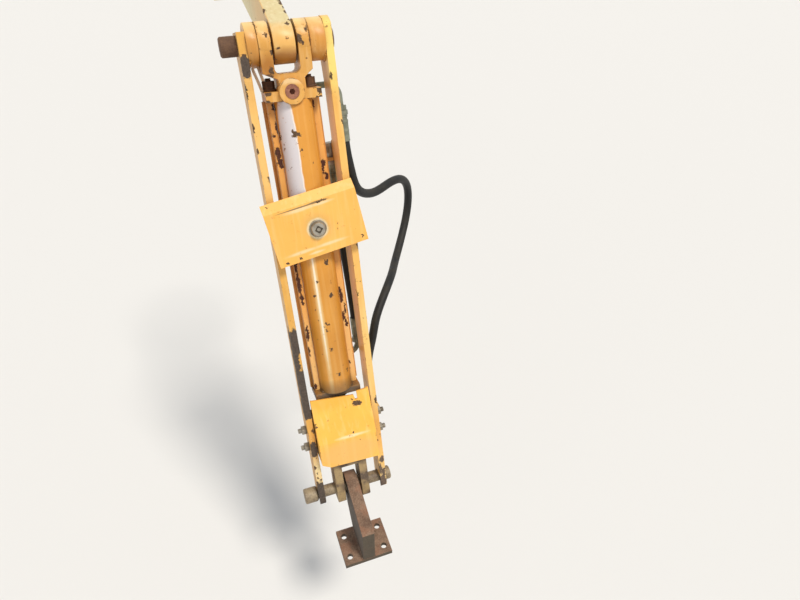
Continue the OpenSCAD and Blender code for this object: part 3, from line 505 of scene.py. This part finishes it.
def piece(name, body, material, skins):
    """A piece that rides on a body, from skins over rings of world places: a skin that ends on its first ring
    is a loop, and any other has both its ends capped."""
    mesh = bpy.data.meshes.new(name)
    shape = bmesh.new()
    for rings in skins:
        looped = rings[-1] is rings[0]
        loops = [[shape.verts.new(place) for place in ring] for ring in rings[:len(rings) - looped]]
        around = len(loops[0])
        for one, other in zip(loops, loops[1:] + loops[:looped]):
            for k in range(around):
                shape.faces.new((one[k], one[(k + 1) % around], other[(k + 1) % around], other[k]))
        if not looped:
            shape.faces.new(loops[0][::-1])
            shape.faces.new(loops[-1])
    bmesh.ops.recalc_face_normals(shape, faces=shape.faces)
    for face in shape.faces:
        face.smooth = len(face.verts) == 4
    shape.to_mesh(mesh)
    shape.free()
    mesh.set_sharp_from_angle(angle=math.radians(38))
    mesh.materials.append(MATERIALS[material])
    obj = bpy.data.objects.new(name, mesh)
    bpy.context.scene.collection.objects.link(obj)
    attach(obj, body)
    return obj


def swept(path, radii, sides, closed=False):
    """Rings square to a path, without twist."""
    count = len(path)
    ways = []
    for k in range(count):
        ahead = path[(k + 1) % count] if closed else path[min(k + 1, count - 1)]
        behind = path[(k - 1) % count] if closed else path[max(k - 1, 0)]
        ways.append((ahead - behind).normalized())
    side = ways[0].orthogonal().normalized()
    rings = []
    for place, way, radius in zip(path, ways, radii):
        side = (side - way * side.dot(way)).normalized()
        up = way.cross(side)
        rings.append([place + radius * (math.cos(turn) * side + math.sin(turn) * up)
                      for turn in (2 * math.pi * k / sides for k in range(sides))])
    return rings + rings[:closed]


def weld_bead(corners, radius, frame_at, closed):
    """A weld bead along corners, its radius in millimetres: its ripples are 2.5 mm apart, each laid over the
    last, on steps of 0.8 mm."""
    corners = [Vector(corner) for corner in corners]
    ends = list(zip(corners, corners[1:])) + ([(corners[-1], corners[0])] if closed else [])
    path, radii, gone = [], [], 0.0
    for one, other in ends:
        steps = max(1, round((other - one).length / 0.8))
        for k in range(steps):
            place = one.lerp(other, k / steps)
            ripple = (gone / 2.5) % 1.0
            # the bead's width wanders over 30 mm
            wander = 1 + 0.10 * math.sin(gone / 4.9) + 0.06 * math.sin(gone / 2.1 + 1)
            path.append(frame_at(place))
            radii.append(radius * MM * wander * (0.84 + 0.16 * math.sqrt(1 - (2 * ripple - 1) ** 2)))
            gone += (other - one).length / steps
    if not closed:
        path.append(frame_at(corners[-1]))
        radii.append(radius * MM * 0.7)
    return swept(path, radii, 10, closed=closed)


def turned(start, way, profile, frame_at, sides=48):
    """A turned piece: each row of its profile is how far along, the radius and, for a faceted row, how many
    flats and the distance across them halved, all in millimetres."""
    way = Vector(way).normalized()
    # the first direction is level, and to the right where the piece stands upright
    side = Vector((0, 0, 1)).cross(way)
    side = side.normalized() if side.length > 0.5 else Vector((1, 0, 0))
    up = way.cross(side)
    rings = []
    for along, radius, flats, across in profile:
        ring = []
        for k in range(sides):
            turn = 2 * math.pi * k / sides
            reach = radius
            if flats:
                off = (turn % (2 * math.pi / flats)) - math.pi / flats
                reach = min(radius, across / math.cos(off))
            out = math.cos(turn) * side + math.sin(turn) * up
            ring.append(frame_at(Vector(start) + way * along + reach * out))
        rings.append(ring)
    return rings


def arc(centre, first, second, begin, end, count=24):
    """Places along an arc about a centre, from its two directions, in degrees."""
    centre, first, second = Vector(centre), Vector(first), Vector(second)
    turns = [math.radians(begin + (end - begin) * k / count) for k in range(count + 1)]
    return [centre + first * math.cos(turn) + second * math.sin(turn) for turn in turns]


def at_link(place):
    """A place in the link's frame, from the top pin, in the world."""
    return LINK @ Vector([c * MM for c in place])


def at_hanger(place):
    """A place on the hanger, from the middle of its flange, in the world."""
    return place * MM


def at_lug(place):
    """A place on the screed's lug, from the lower pin, in the world."""
    return LOWER_PIN + place * MM


def at_cover(place):
    """A place on the cover, from its bolt: it sits 3 mm to the right and turned by 8.5 degrees."""
    return at_link(Matrix.Rotation(math.radians(-8.5), 3, "Y") @ place + Vector((3, 0, -431)))


# ---------------------------------------------------------------- sizes and colours that a user may change


class FinishSettings(bpy.types.PropertyGroup):
    """Colours of the finishes, and how worn they are."""
    enamel: FloatVectorProperty(
        name="Enamel", description="Colour of the enamel, which shifts each piece's own tones",
        subtype="COLOR", size=4, min=0, max=1, default=linear(ENAMEL))
    wear: FloatProperty(
        name="Wear", description="How far the enamel has chipped, from new to bare", subtype="FACTOR", min=0,
        max=1, default=0.5)


class ViewSettings(bpy.types.PropertyGroup):
    """Where the camera stands and how it looks."""
    place: FloatVectorProperty(
        name="Place", description="Where the camera stands", subtype="TRANSLATION", unit="LENGTH",
        default=TOP_PIN + Vector((-0.245892, -1.448866, 0.428152)))
    yaw: FloatProperty(
        name="Yaw", description="Turn about the vertical", unit="ROTATION", default=math.radians(-20.521))
    pitch: FloatProperty(
        name="Pitch", description="Tilt below the horizon", unit="ROTATION", default=math.radians(-39.646))
    roll: FloatProperty(
        name="Roll", description="Lean of the horizon", unit="ROTATION", default=math.radians(0.894))
    lens: FloatProperty(
        name="Lens", description="Focal length on a 36 mm wide sensor", unit="CAMERA", default=27.01)


class StudioSettings(bpy.types.PropertyGroup):
    """The floor and the lamps."""
    floor: FloatVectorProperty(
        name="Floor", description="Colour of the floor", subtype="COLOR", size=4, min=0, max=1,
        default=linear("E4E3E0"))
    room: FloatProperty(
        name="Room", description="How far under the part the floor lies, clear of the rod when it is out",
        unit="LENGTH", default=0.57)
    key: FloatProperty(name="Key", description="Strength of the sun from above", default=2.5, min=0)
    fill: FloatProperty(name="Fill", description="Strength of the light from the left", default=0.60, min=0)
    sky: FloatProperty(name="Sky", description="Strength of the light all round", default=0.50, min=0)


# ---------------------------------------------------------------- operators


def soften_edges(obj, width, segments=2):
    """Rounds a CAD piece's sharp edges for the eye, with its own mesh left as it is."""
    weld = obj.modifiers.new("joined corners", "WELD")
    weld.merge_threshold = 0.00002
    flat = obj.modifiers.new("whole faces", "DECIMATE")
    flat.decimate_type = "DISSOLVE"
    flat.angle_limit = math.radians(0.5)
    bevel = obj.modifiers.new("eased edges", "BEVEL")
    bevel.width = width
    bevel.segments = segments
    bevel.limit_method = "ANGLE"
    bevel.angle_limit = math.radians(40)
    bevel.harden_normals = True


def finish_node(node, material, width=0.0):
    """Gives a CAD piece its material and eased edges."""
    obj = frame["nodes"][node]
    obj.data.materials.clear()
    obj.data.materials.append(material)
    if width:
        soften_edges(obj, width)


class LIFT_OT_finishes(bpy.types.Operator):
    """Give every piece of the frame its finish and its eased edges"""
    bl_idname = "lift_cylinder.finishes"
    bl_label = "Finish the frame's pieces"

    def execute(self, context):
        wear = context.scene.lift_finish.wear
        shift = [chosen / usual for chosen, usual in zip(context.scene.lift_finish.enamel, linear(ENAMEL))]

        def film(*codes):
            """The film's base, deeper and chalked colours, shifted as the chosen enamel is from the usual."""
            return [tuple(channel * by for channel, by in zip(linear(code), shift)) for code in codes]

        # the barrel's bands carry painted highlights beside its bleached band and dirt
        barrel = worn_enamel(
            "Sun-bleached enamel on the barrel with painted highlights", film("DA9638", "CE8A2E", "E8B468"), 0.5 * wear, grime_and_shade=0.7,
            patches=BARREL_CHIPS, bands=BARREL_BANDS_AND_HIGHLIGHTS)
        # painted light: faces of the tie bars that face left are lightened to a pale cream
        ties = worn_enamel(
            "Rust-eaten enamel on the tie bars", film("F0B25C", "E3A04C", "F4C888"), 0.8 * wear, edge=1.4,
            patches=TIE_CHIPS, rusts=("2A1812", "5E3424"), bands=TIE_BANDS,
            sides=(((-1, 0, 0), "FBE0AE", 0.9),))
        # painted shade: faces of the left plate that face left are darkened
        left = worn_enamel(
            "Rubbed enamel on the left plate", film("E2AC52", "CF9540", "EFCB86"), 0.8 * wear, edge=1.0,
            patches=LEFT_CHIPS, bands=LEFT_BANDS, stripped=LEFT_BARE, bared=("3E342D", "5A4D42"),
            sides=(((-1, 0, 0), "C08E42", 0.6),))
        right = worn_enamel(
            "Enamel on the right plate", film("F0BC66", "E4AB52", "F5D596"), 0.6 * wear, edge=0.8,
            patches=RIGHT_CHIPS, bands=RIGHT_BANDS, stripped=RIGHT_BARE, bared=("4E443D", "75604E"))
        # the bosses' bands are painted shade and painted highlights
        bosses = worn_enamel(
            "Enamel on the pin bosses with painted shade and highlights", film("DB9C48", "CB8A38", "EBC07A"), 0.8 * wear, edge=1.0,
            bands=BOSS_PAINTED_SHADE_AND_HIGHLIGHTS)
        # the head's bands carry painted shade on the left lug and painted highlights on the lugs' tops
        casting = worn_enamel(
            "Enamel on the cast head with painted shade and highlights", film("E0A855", "D29743", "EDC98C"), 1.2 * wear, edge=1.5,
            patches=HEAD_CHIPS, bands=HEAD_BANDS_SHADE_AND_HIGHLIGHTS)
        cover = worn_enamel(
            "Enamel on the bent cover", film("F8BB5C", "F4B252", "F9CF8E"), 0.4 * wear, edge=0.8,
            patches=COVER_CHIPS, bands=COVER_BANDS)
        # the guard's bands carry a painted highlight
        guard = worn_enamel(
            "Enamel on the rod guard with a painted highlight", film("FABF52", "F6B649", "FBD58C"), 0.3 * wear, edge=0.9,
            patches=GUARD_CHIPS, bands=GUARD_BANDS_AND_HIGHLIGHT)
        # the hanger's bands carry painted shade under the eye
        hanger = worn_enamel(
            "Bleached enamel on the hanger", film("DDCF9C", "D2BA80", "F2E9C6"), 0.6 * wear, edge=1.6,
            patches=HANGER_CHIPS, bands=HANGER_BANDS_AND_SHADE, upright=True)
        bead = worn_enamel(
            "Enamel over the weld beads", film("CC8E3C", "B97C2E", "DDB06A"), 0.9 * wear, edge=0.3, grime_and_shade=1.0,
            bands=BEAD_BANDS)
        strip = worn_enamel(
            "Pale enamel on the pin's strip", film("FFF4DE", "F8E6C4", "FFF8EA"), 0.5 * wear, edge=0.8,
            grime_and_shade=0.2)
        rusty = rusted_steel("Rust-brown rolled steel", "4A3226", "6E5038")
        plug = rusted_steel("Red-brown plug", "7A4A3A", "A8735A")
        # painted shade: the lug's faces that face front and left are darkened
        lug = rusted_steel(
            "Dusty rusted lug plate", "604838", "957A64",
            sides=(((0, -1, 0), ("2E2B21", "494435"), 0.85), ((-1, 0, 0), ("322F2A", "4C4841"), 0.85)),
            blush="8C5C42")
        worn = rusted_steel("Khaki remains of paint on the clevis", "54463A", "8C7458", "A38B62", 0.6, 0.65)
        pin = rusted_steel("Dirty turned pin", "6A5A48", "A39274", rough=0.55)
        zinc = plated_steel("Dull zinc plating", "A9A294", "837B6D")
        fitting = plated_steel("Olive chromated fitting steel", "8E9180", "6F7263", 0.45)
        oiled = plated_steel("Oiled gland iron", "4C4B48", "33322F", 0.35)
        chrome = chromed_rod("Hard chrome on the rod")
        rubber = hose_rubber("Dusty black hose rubber")
        MATERIALS.update(
            bead=bead, strip=strip, rusty=rusty, zinc=zinc, fitting=fitting, rubber=rubber, lug=lug,
            worn=worn, hanger=hanger)
        table = {
            "hanger_arm": (hanger, 0.003), "hanger_flange": (hanger, 0.0015),
            "hanger_gussets": (hanger, 0.0015), "top_pin": (rusty, 0.0), "cylinder_head": (casting, 0.004),
            "port_plug": (plug, 0.001), "head_bolts": (rusty, 0.001), "barrel": (barrel, 0.002),
            "tie_bars": (ties, 0.0015), "gland": (oiled, 0.0), "gland_flange": (barrel, 0.0015),
            "side_plate_left": (left, 0.002), "side_plate_right": (right, 0.002),
            "boss_left": (bosses, 0.0015), "boss_right": (bosses, 0.0015), "cover_plate": (cover, 0.0015),
            "cover_ribs": (cover, 0.001), "cover_bridge": (cover, 0.001), "cover_bolt": (zinc, 0.0008),
            "rod_guard": (guard, 0.0015), "guard_bolts": (zinc, 0.0008), "top_elbow": (fitting, 0.001),
            "loop_ferrules": (fitting, 0.0005), "loop_hose": (rubber, 0.0), "port_elbow": (fitting, 0.0),
            "line_ferrules": (fitting, 0.0005), "line_hose": (rubber, 0.0), "union_shelves": (right, 0.001),
            "bulkhead_unions": (zinc, 0.0008), "rod": (chrome, 0.0), "clevis": (worn, 0.003),
            "lower_pin": (pin, 0.0), "screed_lug": (lug, 0.002), "lug_foot": (lug, 0.0015)}
        missing = set(frame["nodes"]) - set(table)
        if missing:
            raise RuntimeError("no finish for " + ", ".join(sorted(missing)))
        for node, (material, width) in table.items():
            finish_node(node, material, width)
        return {"FINISHED"}


class LIFT_OT_hoses(bpy.types.Operator):
    """Lay the two hoses in their crimped ferrules"""
    bl_idname = "lift_cylinder.hoses"
    bl_label = "Lay the hoses"

    def execute(self, context):
        for node, route, width, mouths in (
                ("loop_hose", LOOP_ROUTE, 25, (((131, 67, -250), 1), ((112, 62, -970), -1))),
                ("line_hose", LINE_ROUTE, 21, (((87, 57, -380), 1), ((92, 57, -750), -1)))):
            steps = 10 * (len(route) - 3)
            path = [at_link(on_route(route, k / 10)) for k in range(steps + 1)]
            hose = piece(node + "_skin", "link", "rubber",
                         [swept(path, [width / 2 * MM] * (steps + 1), 28)])
            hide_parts(node)
            r = width / 2 + 2.5
            hexagon = width / 2 + 5
            flats = hexagon * math.cos(math.pi / 6)
            # a rolled lip, eight crimped flats between two collars, then the hexagon
            profile = [
                (9, r - 2.2, 0, 0), (0, r - 2.2, 0, 0), (0, r - 0.7, 0, 0), (0.8, r, 0, 0), (4, r, 0, 0),
                (5, r, 8, r * 0.93), (24, r, 8, r * 0.93), (25, r, 8, r * 0.96), (28, r, 8, r * 0.96),
                (29, r, 8, r * 0.93), (47, r, 8, r * 0.93), (48.5, r, 0, 0), (54, r, 0, 0),
                (55, r - 1.6, 0, 0), (60, r - 1.6, 0, 0), (61, r, 0, 0), (66, r, 0, 0),
                (66, hexagon - 1.2, 6, flats), (67.2, hexagon, 6, flats), (76.8, hexagon, 6, flats),
                (78, hexagon - 1.2, 6, flats)]
            ferrules = piece(node.split("_")[0] + "_ferrules_crimped", "link", "fitting",
                             [turned(mouth, (0, 0, way), profile, at_link) for mouth, way in mouths])
            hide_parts(node.split("_")[0] + "_ferrules")
        return {"FINISHED"}


class LIFT_OT_welds(bpy.types.Operator):
    """Run the weld beads where plates, bosses, ribs and gussets are joined"""
    bl_idname = "lift_cylinder.welds"
    bl_label = "Run the weld beads"

    def execute(self, context):
        # corners or an arc's places, radius and whether it closes, by body and frame
        seams = {}
        # each boss to its plate, under the eye, on a circle as wide as the boss
        seams["link", at_link] = [
            (arc((x, 0, 0), (0, 47.5, 0), (0, 0, -47.5), 46, 134), 3.2, False) for x in (-88.2, 88.2)]
        # the gland flange round the barrel's foot, where the guard leaves room, and the port block
        seams["link", at_link] += [
            (arc((0, 0, BARREL_FOOT + 1), (46.6, 0, 0), (0, 46.6, 0), -27, 207, 40), 3.0, False),
            ([(x, 41, z) for x, z in (
                (20.5, PORT_TOP), (20.5, PORT_FOOT), (-20.5, PORT_FOOT), (-20.5, PORT_TOP))], 3.0, True)]
        # the shelves' legs on the right plate's rear edge
        seams["link", at_link] += [
            ([(x, PLATE_REAR, low), (x, PLATE_REAR, high)], 2.0, False)
            for low, high in SHELF_LEGS for x in RIGHT_PLATE]
        # ribs and bridge to the cover and to the plates' front edges
        seams["link", at_cover] = [
            ([(x * 106, y, z), (x * inner, y, z)], 2.4, False)
            for x in (-1, 1) for z in (-56, -48, 48, 56, -20, 20) for y, inner in ((-37, 91), (-61, 46))]
        # each gusset to the arm's side and to the flange, and the arm's root to the flange
        seams["hanger", at_hanger] = [
            (corners, 3.0, False) for side, leg in ((19, 71), (-31, -59)) for z in (-7.5, 7.5)
            for corners in ([(side, -61 - abs(leg), z), (side, -26, z)],
                            [(side, -25.5, z), (side + leg, -25.5, z)])]
        seams["hanger", at_hanger] += [
            ([(x, -25.5, z) for x, z in ((19.5, 75), (19.5, -74), (-31.5, -74), (-31.5, 75))], 3.6, True)]
        # the screed's lug to its foot, and the clevis to the rod
        seams["lug", at_lug] = [([(x, -180, -144.5), (x, -64, -144.5)], 3.6, False) for x in (-19.5, 19.5)]
        seams["rod", at_link] = [
            (arc((0, 0, CLEVIS_TOP - 1), (23, 0, 0), (0, 23, 0), 0, 352.5, 47), 2.6, True)]
        for body, material, slot in (("link", "bead", "yellow_paint"), ("hanger", "hanger", "yellow_paint"),
                                     ("lug", "lug", "rusty_steel"), ("rod", "worn", "worn_paint")):
            piece(body + "_weld_beads", body, material, [
                weld_bead(corners, radius, frame_at, closed) for (holder, frame_at), rows in seams.items()
                if holder == body for corners, radius, closed in rows])
        return {"FINISHED"}


class LIFT_OT_fasteners(bpy.types.Operator):
    """Add threads, the bolt's recessed button, the wiper ring and the pin's strip"""
    bl_idname = "lift_cylinder.fasteners"
    bl_label = "Add threads and small pieces"

    def execute(self, context):
        # ridges at the thread's pitch of 2 mm: stud ends above the tie bolts, and the guard bolts' ends
        profile = [(0, 6.4, 0, 0)]
        profile += [(at + 2 * k, r, 0, 0) for k in range(3) for at, r in ((0.2, 6.4), (1.2, 7.4))]
        profile += [(6.4, 6.2, 0, 0)]
        piece("tie_stud_threads", "link", "rusty",
              [turned((x, 15, -81.2), (0, 0, 1), profile, at_link, 32) for x in TIE_BOLTS])
        profile = [(0, 6.6, 0, 0)]
        profile += [(at + 2 * k, r, 0, 0) for k in range(5) for at, r in ((0.1, 6.6), (1.1, 7.5))]
        profile += [(10.4, 6.0, 0, 0)]
        piece("guard_bolt_threads", "link", "zinc",
              [turned((side * 121.4, 0, z), (side, 0, 0), profile, at_link, 32)
               for side in (-1, 1) for z in GUARD_BOLTS])
        # a rubber wiper stands out round the rod below the gland flange
        wiper = [(0, 28, 0, 0), (0, 32, 0, 0), (2.5, 32, 0, 0), (3.2, 31, 0, 0), (3.2, 27, 0, 0),
                 (6, 23.6, 0, 0), (6, 22.9, 0, 0), (0, 22.9, 0, 0)]
        piece("rod_wiper", "link", "rubber",
              [turned((0, 0, GLAND_FACE), (0, 0, -1), wiper, at_link, 64)])
        # the round button in the cover bolt's square recess
        button = [(0, 5.0, 0, 0), (3.8, 5.0, 0, 0), (4.6, 4.3, 0, 0), (4.9, 2.4, 0, 0)]
        piece("cover_bolt_button", "link", "zinc",
              [turned((0, -76.5, 0), (0, -1, 0), button, at_cover, 32)])
        # the bolt with its washer: an eased rim, a nut tapered to a chamfer and a square recess on its corner
        bolt = [(0, 9.9, 0, 0), (17.7, 9.9, 0, 0), (17.7, 21.3, 0, 0), (18.4, 22, 0, 0), (22, 22, 0, 0),
                (22.7, 21.3, 0, 0), (22.7, 19, 0, 0), (31.2, 17.2, 0, 0), (32.7, 15.6, 0, 0),
                (32.7, 12, 4, 7.9), (32.2, 12, 4, 7.5), (27.7, 12, 4, 7.5)]
        made = piece("cover_bolt_turned", "link", "zinc",
                     [turned((0, -49.3, 0), (0, -1, 0), bolt, at_cover, 48)])
        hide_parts("cover_bolt")
        # a thin bent strip stands beside the left lug
        strip = [Vector(place) for place in (
            (-66.5, 10, -103), (-71, 10, -84), (-80, 10, -52), (-77, 10, -47.6), (-68, 10, -46.6),
            (-66, 10, -52), (-60, 10, -80.5))]
        # its corners are bent, not mitred
        smooth = [strip[0]]
        for one, other in zip(strip, strip[1:]):
            smooth += [one.lerp(other, 0.12), one.lerp(other, 0.88)]
        smooth.append(strip[-1])
        rings = []
        for k, place in enumerate(smooth):
            way = (smooth[min(k + 1, len(smooth) - 1)] - smooth[max(k - 1, 0)]).normalized()
            across = way.cross(Vector((0, 1, 0))).normalized()
            rings.append([at_link(place + Vector((0, y, 0)) + across * t) for y, t in STRIP_SECTION])
        piece("pin_strip", "link", "strip", [rings])
        return {"FINISHED"}


class LIFT_OT_studio(bpy.types.Operator):
    """Set up the pale floor, the soft light and the camera"""
    bl_idname = "lift_cylinder.studio"
    bl_label = "Set up the studio"

    def execute(self, context):
        scene = context.scene
        scene.view_settings.view_transform = "Standard"

        settings = scene.lift_studio
        material, tree, shader = new_material("Pale matt floor")
        shader.inputs["Base Color"].default_value = settings.floor
        shader.inputs["Roughness"].default_value = 0.9
        half = 20.0
        low = CAD_BOX[0][2] - settings.room
        mesh = bpy.data.meshes.new("floor")
        mesh.from_pydata([(-half, -half, low), (half, -half, low), (half, half, low), (-half, half, low)], [],
                         [(0, 1, 2, 3)])
        floor = bpy.data.objects.new("floor", mesh)
        floor.data.materials.append(material)
        scene.collection.objects.link(floor)

        world = bpy.data.worlds.new("Soft overcast studio")
        world.use_nodes = True
        tree = world.node_tree
        tree.nodes.clear()
        light = add(tree, "Background", {"Color": linear("E8EDF4"), "Strength": settings.sky})
        # the eye, glass and metal see plain white
        white = add(tree, "Background", {"Color": (1, 1, 1, 1), "Strength": 1.0})
        path = add(tree, "LightPath").node.outputs
        seen = add(tree, "Math", {0: path["Is Camera Ray"], 1: path["Is Transmission Ray"]},
                   operation="MAXIMUM")
        seen = add(tree, "Math", {0: seen, 1: path["Is Glossy Ray"]}, operation="MAXIMUM")
        mixed = add(tree, "MixShader", {0: seen, 1: light, 2: white})
        add(tree, "OutputWorld", {"Surface": mixed})
        scene.world = world

        for name, towards, energy, angle, colour in (
                ("key", (0.22, -0.42, 0.88), settings.key, 14, "FFF8EE"),
                ("fill", (-0.75, -0.55, 0.30), settings.fill, 50, "FFFFFF")):
            lamp = bpy.data.lights.new(name, "SUN")
            lamp.energy = energy
            lamp.angle = math.radians(angle)
            lamp.color = linear(colour)[:3]
            shine = bpy.data.objects.new(name, lamp)
            shine.rotation_euler = Vector(towards).to_track_quat("Z", "Y").to_euler()
            scene.collection.objects.link(shine)

        view = scene.lift_view
        level = Vector((math.cos(view.yaw), math.sin(view.yaw), 0))
        ahead = Vector((-math.sin(view.yaw), math.cos(view.yaw), 0))
        forward = ahead * math.cos(view.pitch) + Vector((0, 0, math.sin(view.pitch)))
        upright = level.cross(forward)
        right = level * math.cos(view.roll) + upright * math.sin(view.roll)
        up = upright * math.cos(view.roll) - level * math.sin(view.roll)
        data = bpy.data.cameras.new("camera")
        data.sensor_fit = "HORIZONTAL"
        data.sensor_width = 36
        data.lens = view.lens
        data.clip_start = 0.05
        camera = bpy.data.objects.new("camera", data)
        turn = Matrix((right, up, -forward)).transposed().to_4x4()
        camera.matrix_world = Matrix.Translation(view.place) @ turn
        scene.collection.objects.link(camera)
        scene.camera = camera
        return {"FINISHED"}


class LIFT_PT_panel(bpy.types.Panel):
    """Lists the steps that dress the lift cylinder"""
    bl_idname = "LIFT_PT_panel"
    bl_label = "Lift cylinder"
    bl_space_type = "VIEW_3D"
    bl_region_type = "UI"
    bl_category = "Lift cylinder"

    def draw(self, context):
        for group in (context.scene.lift_finish, context.scene.lift_view, context.scene.lift_studio):
            for name in group.__annotations__:
                self.layout.prop(group, name)
        for operator in OPERATORS:
            self.layout.operator(operator.bl_idname)


GROUPS = (FinishSettings, ViewSettings, StudioSettings)
OPERATORS = (LIFT_OT_studio, LIFT_OT_finishes, LIFT_OT_hoses, LIFT_OT_welds, LIFT_OT_fasteners)


def register():
    for cls in GROUPS + OPERATORS + (LIFT_PT_panel,):
        bpy.utils.register_class(cls)
    bpy.types.Scene.lift_finish = PointerProperty(type=FinishSettings)
    bpy.types.Scene.lift_view = PointerProperty(type=ViewSettings)
    bpy.types.Scene.lift_studio = PointerProperty(type=StudioSettings)


def unregister():
    del bpy.types.Scene.lift_studio
    del bpy.types.Scene.lift_view
    del bpy.types.Scene.lift_finish
    for cls in reversed(GROUPS + OPERATORS + (LIFT_PT_panel,)):
        bpy.utils.unregister_class(cls)


def main():
    register()
    bpy.ops.lift_cylinder.studio()
    bpy.ops.lift_cylinder.finishes()
    bpy.ops.lift_cylinder.hoses()
    bpy.ops.lift_cylinder.welds()
    bpy.ops.lift_cylinder.fasteners()


if __name__ == "__main__":
    main()
